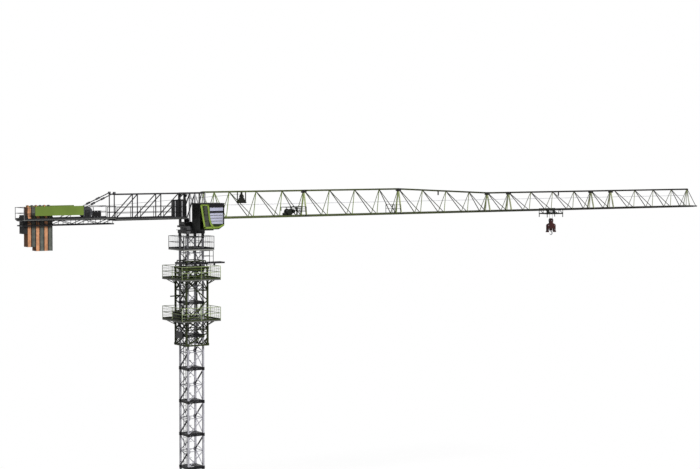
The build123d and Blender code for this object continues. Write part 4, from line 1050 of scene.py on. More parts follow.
class CRANE_OT_platforms(bpy.types.Operator):
    """Kick boards and infill wires of the railings round the mast"""

    bl_idname = "crane.platforms"
    bl_label = "Platforms"

    def execute(self, context):
        sizes = context.scene.crane_railing
        low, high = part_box("mast_platform_railing")
        side = high.x - low.x - 0.02
        kick_boards("mast_platform_kick_boards", side, [low.z], sizes, "joint")
        height = high.z - low.z
        upright_wires("mast_platform_infill", side, [low.z], height, sizes, "railing")
        low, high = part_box("cage_railings")
        side = high.x - low.x - 0.02
        floors = (low.z, high.z - sizes.height)
        kick_boards("cage_kick_boards", side, floors, sizes, "cage")
        upright_wires("cage_railing_infill", side, floors, sizes.height, sizes, "cage")
        wires = []
        for floor in floors:
            for share in (0.27, 0.76):
                wires.extend(square_loop(side, floor + sizes.height * share))
        tubes("cage_infill_wires", wires, sizes.wire, "lime", "mast", sides=5)
        return {"FINISHED"}


def climbing_gear():
    """Chromed rod with its glands, pipes and pump motor of the climbing cylinder."""
    low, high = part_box("climbing_gear")
    line = high.x - 0.036
    glands = bmesh.new()
    add_rod(glands, (line, 0, low.z + 0.26), UP, 0.027, 0.16, 20)
    for lift in (0.28, 0.44, 0.66):
        add_rod(glands, (line, 0, low.z + lift), UP, 0.044, 0.03, 24)
    piece("cylinder_glands", glands, "chrome", "mast", True)
    pipes = []
    for sign, lift in ((-1, 0.58), (1, 0.43)):
        pipes.append(((line - 0.04, sign * 0.02, low.z + lift), (line - 0.06, sign * 0.1, low.z + 0.78)))
    tubes("cylinder_pipes", pipes, 0.009, "rubber", "mast", smooth=True)
    pump = bmesh.new()
    add_turned(pump, (low.x + 0.11, -0.1, high.z), UP, [(0.06, 0), (0.06, 0.11), (0.045, 0.13)], 24)
    add_block(pump, (low.x + 0.02, 0.03, high.z), (low.x + 0.2, 0.2, high.z + 0.045))
    piece("pump_motor", pump, "machinery", "mast", True)


class CRANE_OT_cage(bpy.types.Operator):
    """Finer bracing, crown band, gussets and brackets of the cage, and the climbing gear's details"""

    bl_idname = "crane.cage"
    bl_label = "Climbing cage"

    def execute(self, context):
        sizes = context.scene.crane_railing
        low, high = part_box("cage_frame")
        half = high.x - 0.035
        foot = low.z
        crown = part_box("loading_beam")[0].z
        floors = (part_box("cage_railings")[0].z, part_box("cage_railings")[1].z - sizes.height)
        bracing = bmesh.new()
        for index in range(4):
            near = Vector((*CORNERS[index], 0)) * half
            far = Vector((*CORNERS[(index + 1) % 4], 0)) * half
            middle = (near + far) / 2
            for floor, drop, rise in ((floors[0], 0.42, 0.34), (floors[1], 0.5, 0.3)):
                for leg in (near, far):
                    add_bar(bracing, leg + UP * (floor - drop), middle + UP * (floor - 0.05), 0.034)
                    add_bar(bracing, leg + UP * (floor + rise), middle + UP * (floor + 0.02), 0.028)
                add_bar(bracing, near + UP * (floor - drop), far + UP * (floor - drop), 0.036)
            for leg, other in ((near, far), (far, near)):
                inward = leg.lerp(other, 0.3)
                add_bar(bracing, leg + UP * (foot + 0.36), inward + UP * (foot + 0.03), 0.03)
        piece("cage_finer_bracing", bracing, "cage", "mast")
        band = bmesh.new()
        for near, far in square_loop(2 * half, crown + 0.13):
            add_bar(band, near, far, 0.05, 0.07)
        piece("cage_crown_band", band, "joint", "mast")
        gussets = bmesh.new()
        reach = Vector((0.05, 0.05, 0.05))
        for x, y in CORNERS:
            for level in (floors[0] - 0.05, floors[1] - 0.05, crown - 0.06, foot + 0.06):
                spot = Vector((x * half, y * half, level))
                add_block(gussets, spot - reach, spot + reach)
        piece("cage_gussets", gussets, "cage", "mast")
        brackets = bmesh.new()
        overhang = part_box("platform_floors")[1].x - 0.02 - half
        for floor in floors:
            for x, y in CORNERS:
                for ax, ay in ((x, 0), (0, y)):
                    root = Vector((x * half, y * half, floor - 0.24))
                    tip = root + Vector((ax, ay, 0)) * overhang + UP * 0.195
                    add_bar(brackets, root, tip, 0.03)
        piece("platform_brackets", brackets, "cage", "mast")
        climbing_gear()
        return {"FINISHED"}


class CRANE_OT_loading_beam(bpy.types.Operator):
    """Flanges and chain of the loading beam"""

    bl_idname = "crane.loading_beam"
    bl_label = "Loading beam"

    def execute(self, context):
        low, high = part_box("loading_beam")
        base = low.z + 0.09
        parts = bmesh.new()
        for side in (low.y + 0.03, high.y - 0.03):
            for lift in (-0.002, 0.054):
                start = (low.x + 0.06, side - 0.045, base + lift)
                add_block(parts, start, (high.x - 0.002, side + 0.045, base + lift + 0.008))
        piece("loading_beam_flanges", parts, "charcoal", "mast")
        place = high.x - 0.4
        chain = [((place, 0, low.z), (place, 0, low.z - 0.07))]
        tubes("loading_chain", chain, 0.012, "zinc", "mast")
        return {"FINISHED"}


def outwards(count):
    """Level directions spread evenly round a full turn."""
    turns = [2 * math.pi * step / count for step in range(count)]
    return [Vector((math.cos(angle), math.sin(angle), 0)) for angle in turns]


def slewing_motors():
    """Two upright slewing motors with their gearboxes and cooling fins."""
    low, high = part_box("slewing_drives")
    drives = bmesh.new()
    # Foot flange, gearbox, motor housing and domed cap, from the bottom up
    outline = [(0.075, 0), (0.075, 0.02), (0.055, 0.02), (0.055, 0.15)]
    outline += [(0.066, 0.16), (0.066, 0.28), (0.04, 0.3)]
    for side in (low.y + 0.055, high.y - 0.055):
        base = Vector((0, side, low.z))
        add_turned(drives, base, UP, outline, 28)
        for out in outwards(12):
            fin = base + out * 0.068
            add_bar(drives, fin + UP * 0.165, fin + UP * 0.275, 0.008, 0.012)
    made = piece("slewing_motors", drives, "machinery", "upperworks", True)
    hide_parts("slewing_drives")


class CRANE_OT_slewing_unit(bpy.types.Operator):
    """Bolts of the slewing ring, slewing motors, stiffeners and pale corner plates"""

    bl_idname = "crane.slewing_unit"
    bl_label = "Slewing unit"

    def execute(self, context):
        for node, body in (("slewing_ring_lower", "mast"), ("slewing_ring_upper", "upperworks")):
            low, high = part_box(node)
            points = [(out * (high.x - 0.001) + UP * (low.z + high.z) / 2, out) for out in outwards(36)]
            bolt_heads(node + "_bolts", points, 0.014, 0.008, "bearing", body)
        slewing_motors()
        low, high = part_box("mast_head")
        half = high.x - 0.045
        ribs = bmesh.new()
        for near, far in square_loop(2 * half, high.z - 0.15):
            for share in (0.2, 0.4, 0.6, 0.8):
                place = Vector(near).lerp(Vector(far), share)
                add_bar(ribs, place, place + UP * 0.13, 0.012, 0.05)
        piece("head_stiffeners", ribs, "joint", "mast")
        # Pale doors at the rear corner, one below the ring and one above it
        skin = 0.006
        panel = bmesh.new()
        add_block(panel, (low.x + 0.03, low.y, high.z - 0.15), (low.x + 0.19, low.y + skin, high.z - 0.025))
        piece("head_corner_plate", panel, "pale trim", "mast")
        low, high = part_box("turntable")
        panel = bmesh.new()
        add_block(panel, (low.x, low.y - skin, high.z - 0.165), (low.x + 0.16, low.y, high.z - 0.005))
        piece("turntable_corner_plate", panel, "pale trim", "upperworks")
        return {"FINISHED"}


class CRANE_OT_tower_head(bpy.types.Operator):
    """Gussets and the light strut of the tower head"""

    bl_idname = "crane.tower_head"
    bl_label = "Tower head"

    def execute(self, context):
        low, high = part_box("tower_head")
        plates = bmesh.new()
        post = low.x + 0.03
        for side in (low.y, high.y - 0.008):
            for level, way in ((low.z + 0.16, 1), (high.z - 0.1, -1)):
                outline = []
                for x, lift in ((-0.03, 0), (0.12, 0), (0.06, 0.12), (-0.03, 0.12)):
                    outline.append((post + x, 0, level + way * lift))
                add_prism(plates, outline, (0, side, 0), (0, 0.008, 0))
        piece("head_gussets", plates, "charcoal", "upperworks")
        strut = bmesh.new()
        add_bar(strut, (high.x - 0.04, 0, high.z - 0.05), (high.x - 0.25, 0, low.z + 0.6), 0.03)
        add_bar(strut, (high.x - 0.25, low.y, low.z + 0.6), (high.x - 0.25, high.y, low.z + 0.6), 0.02)
        piece("head_strut", strut, "pale trim", "upperworks")
        return {"FINISHED"}


def sheave_guard(top_level):
    """The frame round the root sheave: two hangers, two side bars and two sloping plates."""
    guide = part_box("rope_guides")[0]
    rear, front = guide.x - 0.09, guide.x + 0.31
    foot = guide.z - 0.02
    guard = bmesh.new()
    for x in (rear, front):
        add_bar(guard, (x, 0, foot), (x, 0, top_level(x)), 0.035)
        add_bar(guard, (x, -0.05, foot), (x, 0.05, foot), 0.035)
    for side in (0.05, -0.05):
        add_bar(guard, (rear, side, foot), (front, side, foot), 0.012, 0.05)
    middle = (rear + front) / 2
    shoulder = foot + 0.2
    outline = [(rear, 0, foot), (front, 0, foot), (middle + 0.1, 0, shoulder), (middle - 0.1, 0, shoulder)]
    for side in (-0.056, 0.048):
        add_prism(guard, outline, (0, side, 0), (0, 0.008, 0))
    piece("root_sheave_guard", guard, "tip", "upperworks")


class CRANE_OT_jib_details(bpy.types.Operator):
    """Joints, chord casings, root sheave guard, plan bracing and lifeline of the jib"""

    bl_idname = "crane.jib_details"
    bl_label = "Jib details"

    def execute(self, context):
        sizes = context.scene.crane_jib
        sections = [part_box(f"jib_section_{index}") for index in range(1, JIB_SECTIONS + 1)]
        top_level = top_chord_line(sizes.chord)
        chord = sizes.chord / 2
        bottom = sections[0][0].z + chord
        reach = sizes.joint_length / 2
        joints = bmesh.new()
        pins = bmesh.new()
        for low, high in sections[:-1]:
            place = high.x
            top = top_level(place)
            wide = chord + 0.014
            add_block(joints, (place - reach, -wide, top - 0.1), (place + reach, wide, top + chord))
            add_rod(pins, (place, -wide - 0.012, top), ACROSS, sizes.pin, 2 * wide + 0.024, 14)
            for sign in SIDES:
                side = sign * sizes.line
                start = (place - reach * 0.8, side - chord - 0.004, bottom - chord - 0.001)
                end = (place + reach * 0.8, side + chord + 0.004, bottom + chord + 0.012)
                add_block(joints, start, end)
                pin = (place, side - 0.045, bottom + 0.012)
                add_rod(pins, pin, ACROSS, sizes.pin, 0.09, 14)
        piece("jib_joint_plates", joints, "tip", "upperworks")
        casings = bmesh.new()
        deep = sizes.chord + 0.02
        for low, high in sections:
            add_bar(casings, (low.x, 0, top_level(low.x)), (high.x, 0, top_level(high.x)), deep - 0.006)
            for sign in SIDES:
                side = sign * sizes.line
                add_bar(casings, (low.x, side, bottom), (high.x, side, bottom), sizes.chord + 0.002, deep)
        piece("jib_chord_casings", casings, "chord", "upperworks")
        sheave_guard(top_level)
        piece("jib_joint_pins", pins, "bearing", "upperworks", True)
        braces = bmesh.new()
        for low, high in sections:
            places = evenly((low.x + 0.02, 0, bottom), (high.x - 0.02, 0, bottom), 1.3)
            sign = 1
            for near, far in zip(places[:-1], places[1:]):
                start = (near.x, sign * sizes.line, bottom)
                add_bar(braces, start, (far.x, -sign * sizes.line, bottom), sizes.brace)
                sign = -sign
        piece("jib_plan_bracing", braces, "dark lacing", "upperworks")
        start = sections[0][0].x + 0.3
        end = sections[-1][1].x - 0.1
        level = bottom + sizes.lifeline_height
        inset = sizes.line / 2
        wires = [((start, sign * inset, level), (end, sign * inset, level)) for sign in SIDES]
        tubes("jib_lifeline", wires, sizes.lifeline, "zinc", "upperworks", sides=6)
        return {"FINISHED"}


class CRANE_OT_cab(bpy.types.Operator):
    """Lime frame, dark window bars, guard bars, door rails and roof hatch of the cab"""

    bl_idname = "crane.cab"
    bl_label = "Cab"

    def execute(self, context):
        low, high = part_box("cab_shell")
        base, top = low.z, high.z
        rear, front = low.x, high.x
        skin = 0.012
        lime, bars, door = bmesh.new(), bmesh.new(), bmesh.new()
        guards = []
        # The door post runs down from the roof and bends forward at its foot
        post = [(0.165, top - 0.04), (0.2, base + 0.7), (0.235, base + 0.45), (0.3, base + 0.24)]
        post.append((0.4, base + 0.1))
        for side, way in ((low.y, -1), (high.y, 1)):
            # Slanted rear post, top rail, bent door post and two-part sill stand proud of the shell
            face = side + way * skin / 2
            add_bar(lime, (rear + 0.03, face, top - 0.03), (rear + 0.2, face, base + 0.06), skin, 0.075)
            add_bar(lime, (rear + 0.02, face, top - 0.02), (0.22, face, top - 0.04), skin, 0.04)
            for start, end in zip(post, post[1:]):
                add_bar(lime, (start[0], face, start[1]), (end[0], face, end[1]), skin, 0.08)
            add_bar(lime, (rear + 0.17, face, base + 0.08), (front - 0.24, face, base + 0.08), skin, 0.075)
            add_bar(lime, (front - 0.25, face, base + 0.085), (front - 0.02, face, base + 0.19), skin, 0.06)
            face = side + way * 0.004
            add_bar(bars, (0.25, face, top - 0.32), (front, face, top - 0.32), 0.014, 0.08)
            add_bar(bars, (front - 0.02, face, base + 0.16), (front - 0.02, face, top), 0.04, 0.014)
            add_bar(bars, (0.23, face, top - 0.06), (front, face, top - 0.06), 0.014, 0.14)
            for lift in (0.36, 0.62):
                add_bar(door, (0.02, face, base + lift), (0.19, face, base + lift), 0.012, 0.03)
            face = side + way * 0.01
            for lift in (0.37, 0.49, 0.61):
                guards.append(((0.27, face, base + lift), (front - 0.04, face, base + lift)))
        for side in (low.y + 0.02, high.y - 0.02):
            add_bar(bars, (front + 0.004, side, base + 0.17), (front + 0.004, side, top), 0.014, 0.04)
        piece("cab_lime_frame", lime, "lime", "upperworks")
        piece("cab_dark_frame", bars, "rubber", "upperworks")
        tubes("cab_guard_bars", guards, 0.008, "pale trim", "upperworks")
        piece("cab_door_rails", door, "cage", "upperworks")
        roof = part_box("cab_roof")[1].z
        hatch = bmesh.new()
        add_block(hatch, (0.05, low.y + 0.12, roof - 0.001), (0.45, high.y - 0.12, roof + 0.012))
        piece("cab_roof_hatch", hatch, "cab board", "upperworks")
        return {"FINISHED"}


class CRANE_OT_cabinets(bpy.types.Operator):
    """Door frames, louvres and pale bars on the electric cabinets"""

    bl_idname = "crane.cabinets"
    bl_label = "Electric cabinets"

    def execute(self, context):
        low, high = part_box("electric_cabinets")
        width, rim, skin = 0.295, 0.024, 0.008
        face = low.y - skin / 2
        doors = bmesh.new()
        trim = bmesh.new()
        for index, start in enumerate((low.x, high.x - width)):
            end = start + width
            for x in (start + rim / 2, end - rim / 2):
                add_bar(doors, (x, face, low.z), (x, face, high.z), rim, skin)
            for level in (low.z + rim / 2, high.z - rim / 2):
                add_bar(doors, (start, face, level), (end, face, level), skin, rim)
            strip = (start + 0.09, face - 0.004)
            add_bar(trim, (*strip, low.z + 0.06), (*strip, high.z - 0.06), 0.03, 0.012)
            louvres = {
                "Count": 9,
                "Start": (start + 0.2, low.y - 0.003, low.z + 0.12),
                "Step": (0.0, 0.0, 0.03),
                "Size": (0.12, skin, 0.012),
            }
            name = f"cabinet_louvres_{index + 1}"
            grow(name, "row", louvres, "rubber", "upperworks")
        piece("cabinet_doors", doors, "rubber", "upperworks")
        piece("cabinet_bars", trim, "pale trim", "upperworks")
        return {"FINISHED"}


class CRANE_OT_counter_jib(bpy.types.Operator):
    """Walkway brackets, kick boards, deck posts and board frames of the counter-jib"""

    bl_idname = "crane.counter_jib"
    bl_label = "Counter-jib"

    def execute(self, context):
        sizes = context.scene.crane_railing
        low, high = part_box("walkways")
        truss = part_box("counter_jib_truss")
        inner = truss[1].y
        brackets = bmesh.new()
        kick = bmesh.new()
        rail_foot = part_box("counter_jib_railing")[0].z
        for start, end, top in ((truss[0].x + 0.012, high.x, rail_foot), (low.x, truss[0].x, high.z)):
            for sign in SIDES:
                for place in evenly((start + 0.05, 0, top - 0.03), (end - 0.05, 0, top - 0.03), 0.6):
                    root = place + ACROSS * sign * (inner - 0.012)
                    add_bar(brackets, root, place + ACROSS * sign * (high.y - 0.004), 0.02, 0.036)
                edge = sign * (high.y - 0.008)
                level = top + sizes.kick / 2
                add_bar(kick, (start, edge, level), (end, edge, level), sizes.kick_thickness, sizes.kick)
        piece("walkway_brackets", brackets, "charcoal", "upperworks")
        piece("walkway_kick_boards", kick, "charcoal", "upperworks")
        low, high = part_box("banner_boards")
        frames = bmesh.new()
        for sign in SIDES:
            face = sign * (high.y - 0.012)
            for place in evenly((low.x + 0.02, face, 0), (high.x - 0.02, face, 0), 0.52):
                add_bar(frames, place + UP * (low.z + 0.004), place + UP * (high.z - 0.004), 0.012)
            for level in (low.z + 0.008, high.z - 0.008):
                add_bar(frames, (low.x + 0.01, face, level), (high.x - 0.01, face, level), 0.012)
        piece("board_frames", frames, "lime", "upperworks")
        low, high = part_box("counter_jib_deck")
        posts = bmesh.new()
        for sign in SIDES:
            side = sign * (high.y - 0.025)
            level = low.z + 0.02
            for place in evenly((low.x + 0.125, side, level), (high.x - 0.05, side, level), 0.575):
                add_bar(posts, place, place + UP * (high.z - low.z - 0.04), 0.018)
        piece("deck_posts", posts, "charcoal", "upperworks")
        return {"FINISHED"}


class CRANE_OT_ballast(bpy.types.Operator):
    """Lifting pins between the lugs of the ballast slabs"""

    bl_idname = "crane.ballast"
    bl_label = "Ballast"

    def execute(self, context):
        pitch = context.scene.crane_machinery.slab_pitch
        low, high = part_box("ballast_slabs_orange")
        slabs = 6
        radius, reach, drop = 0.012, 0.05, 0.03
        pins = bmesh.new()
        for index in range(slabs):
            for side in (-0.12, 0.12):
                start = (low.x + index * pitch + 0.06, side, high.z - drop)
                add_rod(pins, start, ALONG, radius, reach, 10)
        piece("slab_lifting_pins", pins, "rubber", "upperworks")
        return {"FINISHED"}


def wind_rope(name, drum, barrel, winding, rope):
    """Rope laid on the middle of a drum, sunk a little into its grooves."""
    low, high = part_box(drum)
    middle = (low + high) / 2
    turns = int(winding / (2 * rope))
    sizes = {
        "Count": turns,
        "Start": (middle.x, -(turns - 1) * rope, middle.z),
        "Step": (0.0, 2 * rope, 0.0),
        "Radius": barrel + rope * 0.8,
        "Rope radius": rope,
    }
    grow(name, "winding", sizes, "rope", drum, smooth=True)


def winch_guard(drum):
    """The rail frame over the trolley winch, and two pairs of round cheeks at its drum."""
    low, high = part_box("jib_winch_frame")
    top = high.z + 0.15
    tube = 0.024
    edges = (low.y + tube / 2, high.y - tube / 2)
    guard = bmesh.new()
    for x in (low.x + 0.02, high.x - 0.02):
        for side in edges:
            add_bar(guard, (x, side, high.z - 0.02), (x, side, top), tube)
        add_bar(guard, (x, low.y, top), (x, high.y, top), tube)
    for side in edges:
        add_bar(guard, (low.x, side, top), (high.x, side, top), tube)
    for side in (-0.15, 0.138):
        add_rod(guard, (drum.x, side, drum.z), ACROSS, 0.145, 0.012, 28)
        add_rod(guard, (drum.x + 0.17, side, drum.z + 0.03), ACROSS, 0.09, 0.012, 20)
    piece("jib_winch_guard", guard, "trolley", "upperworks")


def platform_rails():
    """Three rails on three posts along each side of the jib platform nearest the root."""
    low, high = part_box("jib_platforms")
    height, reach = 0.3, 0.5
    foot = high.z - height
    rails = bmesh.new()
    for side in (-0.2, 0.2):
        for lift in (0.1, 0.2, height):
            add_bar(rails, (low.x, side, foot + lift), (low.x + reach, side, foot + lift), 0.018)
        for x in (low.x, low.x + reach / 2, low.x + reach):
            add_bar(rails, (x, side, foot - 0.04), (x, side, foot + height), 0.022)
    piece("jib_platform_rails", rails, "trolley", "upperworks")


class CRANE_OT_winches(bpy.types.Operator):
    """Rope and flanges of the drums, guards and rails of the jib winch, and the hoist motor's details"""

    bl_idname = "crane.winches"
    bl_label = "Winches"

    def execute(self, context):
        sizes = context.scene.crane_machinery
        hoist = (sizes.hoist_barrel, sizes.hoist_winding, sizes.hoist_rope)
        wind_rope("hoist_rope_turns", "hoist_drum", *hoist)
        travel = (sizes.trolley_barrel, sizes.trolley_winding, sizes.trolley_rope)
        wind_rope("trolley_rope_turns", "trolley_drum", *travel)
        low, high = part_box("trolley_drum")
        middle = (low + high) / 2
        radius = (high.x - low.x) / 2 + 0.025
        flanges = bmesh.new()
        for side in (-0.095, 0.083):
            add_rod(flanges, (middle.x, side, middle.z), ACROSS, radius, 0.012, 40)
        piece("trolley_drum_flanges", flanges, "machinery", "trolley_drum", True)
        winch_guard(middle)
        platform_rails()
        low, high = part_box("hoist_motor")
        axis = Vector(((low.x + high.x) / 2, 0, high.z - 0.13))
        fins = bmesh.new()
        count = 20
        for step in range(count):
            angle = 2 * math.pi * step / count
            out = Vector((math.cos(angle), 0, math.sin(angle)))
            # The lowest fins would stand in the motor's foot
            if out.z < -0.4:
                continue
            line = axis + out * (sizes.motor + 0.003)
            add_bar(fins, line + ACROSS * (low.y + 0.16), line + ACROSS * (high.y - 0.07), 0.006, 0.02)
        cowl = [(sizes.motor + 0.007, 0), (sizes.motor + 0.007, 0.05), (sizes.motor - 0.015, 0.058)]
        add_turned(fins, axis + ACROSS * (high.y - 0.06), ACROSS, cowl, 32)
        piece("hoist_motor_fins", fins, "machinery", "upperworks")
        bolts = []
        for x in (-0.13, 0, 0.13):
            for lift in (0.03, 0.27):
                bolts.append(((axis.x + x, low.y - 0.004, low.z + lift), (0, -1, 0)))
        bolt_heads("gearbox_bolts", bolts, 0.014, 0.012, "zinc", "upperworks")
        return {"FINISHED"}


class CRANE_OT_tie_rods(bpy.types.Operator):
    """Pins and joint sleeves of the tie rods"""

    bl_idname = "crane.tie_rods"
    bl_label = "Tie rods"

    def execute(self, context):
        low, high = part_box("tie_rods")
        # The eyes at both ends lie this far inside the rods' box
        inset, drop = 0.055, 0.042
        head = Vector((high.x - inset, 0, high.z - drop))
        foot = Vector((low.x + inset, 0, low.z + drop))
        run = (foot - head).normalized()
        pins = bmesh.new()
        sleeves = bmesh.new()
        for sign in SIDES:
            side = ACROSS * sign * (high.y - 0.018)
            # Each rod is pinned at both eyes and at two joints, and a joint has a sleeve as well
            for share in (0.0, 0.23, 0.42, 1.0):
                place = head.lerp(foot, share) + side
                add_rod(pins, place - ACROSS * 0.03, ACROSS, 0.016, 0.06, 14)
                if 0.0 < share < 1.0:
                    add_bar(sleeves, place - run * 0.09, place + run * 0.09, 0.034, 0.075)
        piece("tie_rod_pins", pins, "zinc", "upperworks", True)
        piece("tie_rod_sleeves", sleeves, "charcoal", "upperworks")
        return {"FINISHED"}


class CRANE_OT_ropes(bpy.types.Operator):
    """Taut hoist rope from the drum to the root sheave, and the falls over the hook block"""

    bl_idname = "crane.ropes"
    bl_label = "Ropes"

    def execute(self, context):
        sizes = context.scene.crane_machinery
        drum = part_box("hoist_drum")
        middle = (drum[0] + drum[1]) / 2
        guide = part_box("rope_guides")
        start = (middle.x, 0, middle.z + sizes.hoist_barrel + 0.008)
        # The rope reaches the root sheave 0.11 m in from its rear and 0.107 m under its bracket's top
        end = (guide[0].x + 0.11, 0, guide[1].z - 0.107)
        rope = sizes.hoist_rope
        tubes("hoist_rope_run", [(start, end)], rope, "rope", "upperworks", smooth=True)
        # The falls hang from the trolley; on the crane they lengthen as the hook block goes down, and here
        # they are one fixed mesh
        low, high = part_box("rope_falls")
        falls = bmesh.new()
        for x in (low.x + rope, high.x - rope):
            add_rod(falls, (x, 0, low.z), UP, rope, high.z - low.z, 10)
        made = piece("hoist_rope_falls", falls, "rope", None, True)
        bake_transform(made)
        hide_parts("rope_falls")
        return {"FINISHED"}


def grooved_wheel(radius, width, hub):
    """Outline of a sheave: hub ends, rim flanges and the rope groove between them."""
    axle = 0.015
    groove = radius - 0.011
    rim = width * 0.17
    return [
        (axle, 0),
        (axle, hub),
        (radius, hub),
        (radius, hub + rim),
        (groove, hub + 2 * rim),
        (groove, width - hub - 2 * rim),
        (radius, width - hub - rim),
        (radius, width - hub),
        (axle, width - hub),
        (axle, width),
    ]


def trolley_wheels(middle, spread):
    """Four wheels on the bottom chords, and a grooved sheave over each fall."""
    low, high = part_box("trolley_wheels")
    radius, width = 0.036, 0.029
    # From the inside out: chamfer, tread, hub and axle end
    outline = [(0.034, 0), (radius, 0.003), (radius, 0.018), (0.03, 0.02), (0.014, 0.021), (0.014, width)]
    wheels = bmesh.new()
    for sign in SIDES:
        for x in (low.x + radius, high.x - radius):
            base = (x, sign * (high.y - width), high.z - radius)
            add_turned(wheels, base, ACROSS * sign, outline, 28)
    for sign in SIDES:
        place = (middle + sign * spread, -0.021, low.z + 0.08)
        add_turned(wheels, place, ACROSS, grooved_wheel(0.092, 0.042, 0.003), 40)
    made = piece("trolley_wheels_detailed", wheels, "bearing", "trolley", True)
    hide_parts("trolley_wheels")


def open_trolley_frame(middle, spread):
    """Braced side frames, ties between them, and hanger plates for the two sheaves."""
    low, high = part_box("trolley_frame")
    upper, lower = high.z - 0.12, low.z + 0.17
    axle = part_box("trolley_wheels")[0].z + 0.08
    half, hanger = 0.23, 0.026
    ends = (low.x + 0.015, middle - half, middle + half, high.x - 0.015)
    bars = bmesh.new()
    for sign in SIDES:
        side = sign * (high.y - 0.006)
        add_bar(bars, (low.x, side, upper), (high.x, side, upper), 0.012, 0.085)
        add_bar(bars, (low.x, side, lower), (high.x, side, lower), 0.012, 0.055)
        for x in ends:
            add_bar(bars, (x, side, lower), (x, side, upper), 0.03, 0.012)
        for start, end in zip(ends, ends[1:]):
            add_bar(bars, (start, side, upper), (end, side, lower), 0.01, 0.03)
        for x in (low.x + 0.02, high.x - 0.02):
            add_bar(bars, (x, side, lower), (x, side, low.z), 0.04, 0.012)
    for x in ends:
        add_bar(bars, (x, low.y, lower), (x, high.y, lower), 0.04, 0.05)
    for sign in SIDES:
        place = middle + sign * spread
        for side in (-hanger, hanger):
            add_bar(bars, (place - 0.05, side, lower), (place + 0.05, side, lower), 0.008, 0.05)
            add_bar(bars, (place, side, lower), (place, side, axle + 0.03), 0.06, 0.008)
        side = sign * hanger
        add_bar(bars, (middle - half, side, lower), (middle + half, side, lower), 0.008, 0.05)
    made = piece("trolley_open_frame", bars, "trolley", "trolley")
    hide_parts("trolley_frame")


class CRANE_OT_trolley(bpy.types.Operator):
    """Wheels, grooved sheaves and open frame of the trolley"""

    bl_idname = "crane.trolley"
    bl_label = "Trolley"

    def execute(self, context):
        low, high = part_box("trolley_wheels")
        middle = (low.x + high.x) / 2
        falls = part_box("rope_falls")
        spread = falls[1].x - falls[0].x - 0.012
        trolley_wheels(middle, spread)
        open_trolley_frame(middle, spread)
        return {"FINISHED"}


def sweep(mesh, path, radii, steps=14):
    """A round bar of changing thickness along a path in the XZ plane."""
    rings = []
    for index, place in enumerate(path):
        before = path[max(0, index - 1)]
        after = path[min(len(path) - 1, index + 1)]
        other = (after - before).normalized().cross(ACROSS).normalized()
        ring = []
        for step in range(steps):
            angle = 2 * math.pi * step / steps
            offset = (ACROSS * math.cos(angle) + other * math.sin(angle)) * radii[index]
            ring.append(mesh.verts.new(place + offset))
        rings.append(ring)
    for first, second in zip(rings[:-1], rings[1:]):
        for step in range(steps):
            following = (step + 1) % steps
            mesh.faces.new((first[step], first[following], second[following], second[step]))
    mesh.faces.new(list(reversed(rings[0])))
    mesh.faces.new(rings[-1])


def block_cheeks(middle):
    """Two shaped cheek plates, their spacers and bolts, and the crosshead that carries the hook."""
    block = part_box("hook_block_frame")
    foot = block[1].x - middle.x
    drop = middle.z - block[0].z
    # Right half of a cheek from its neck down over shoulder, leg and arch to the tongue
    half = [
        (0.085, -0.13),
        (0.2, -0.175),
        (foot - 0.025, -0.22),
        (foot - 0.03, -drop + 0.08),
        (foot, -drop + 0.04),
        (foot, -drop),
        (foot - 0.115, -drop),
        (0.15, -0.4),
        (0.05, -0.37),
        (0.05, -0.49),
    ]
    # The crown follows the sheave's rim, from just under its axle on one side to the other
    radius = 0.105
    turns = [math.radians(200 - 27.5 * step) for step in range(9)]
    crown = [(radius * math.cos(angle), radius * math.sin(angle)) for angle in turns]
    left = [(-x, z) for x, z in reversed(half)]
    outline = [(middle.x + x, 0, middle.z + z) for x, z in crown + half + left]
    plate = 0.012
    gap = block[1].y - plate
    cheeks = bmesh.new()
    for side in (block[0].y, gap):
        add_prism(cheeks, outline, (0, side, 0), (0, plate, 0))
    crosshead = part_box("hook")[1].z - 0.06
    low_corner = (middle.x - 0.05, -gap, crosshead - 0.025)
    add_block(cheeks, low_corner, (middle.x + 0.05, gap, crosshead + 0.025))
    bolts = []
    for x, z in ((0, 0), (-0.19, -0.24), (0.19, -0.24), (-0.2, -0.46), (0.2, -0.46)):
        add_rod(cheeks, (middle.x + x, -gap, middle.z + z), ACROSS, 0.014, 2 * gap, 12)
        for side, way in ((block[0].y, -1), (block[1].y, 1)):
            bolts.append(((middle.x + x, side + way * 0.002, middle.z + z), (0, way, 0)))
    made = piece("hook_block_cheeks", cheeks, "maroon", "hook_block")
    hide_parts("hook_block_frame")
    bolt_heads("cheek_bolts", bolts, 0.018, 0.012, "zinc", "hook_block")


def forged_hook(middle):
    """The hook's shank, round bowl and thinning tip, with the nut on top."""
    low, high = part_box("hook")
    bowl = Vector((middle.x, 0, low.z + 0.095))
    nut = Vector((middle.x, 0, high.z))
    path = [nut, nut - UP * 0.03, bowl + UP * 0.1]
    radii = [0.02, 0.02, 0.024]
    # The bowl goes round by 255 degrees, and its bar thins over the last 45% of them
    ring, steps = 0.071, 22
    for step in range(steps + 1):
        share = step / steps
        angle = math.radians(90 - 255 * share)
        path.append(bowl + Vector((math.cos(angle), 0, math.sin(angle))) * ring)
        radii.append(0.0235 - 0.014 * max(0.0, share - 0.55) / 0.45)
    hook = bmesh.new()
    sweep(hook, path, radii)
    add_turned(hook, nut - UP * 0.034, UP, [(0.034, 0), (0.034, 0.028), (0.026, 0.034)], 6)
    made = piece("forged_hook", hook, "forging", "hook", True)
    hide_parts("hook")


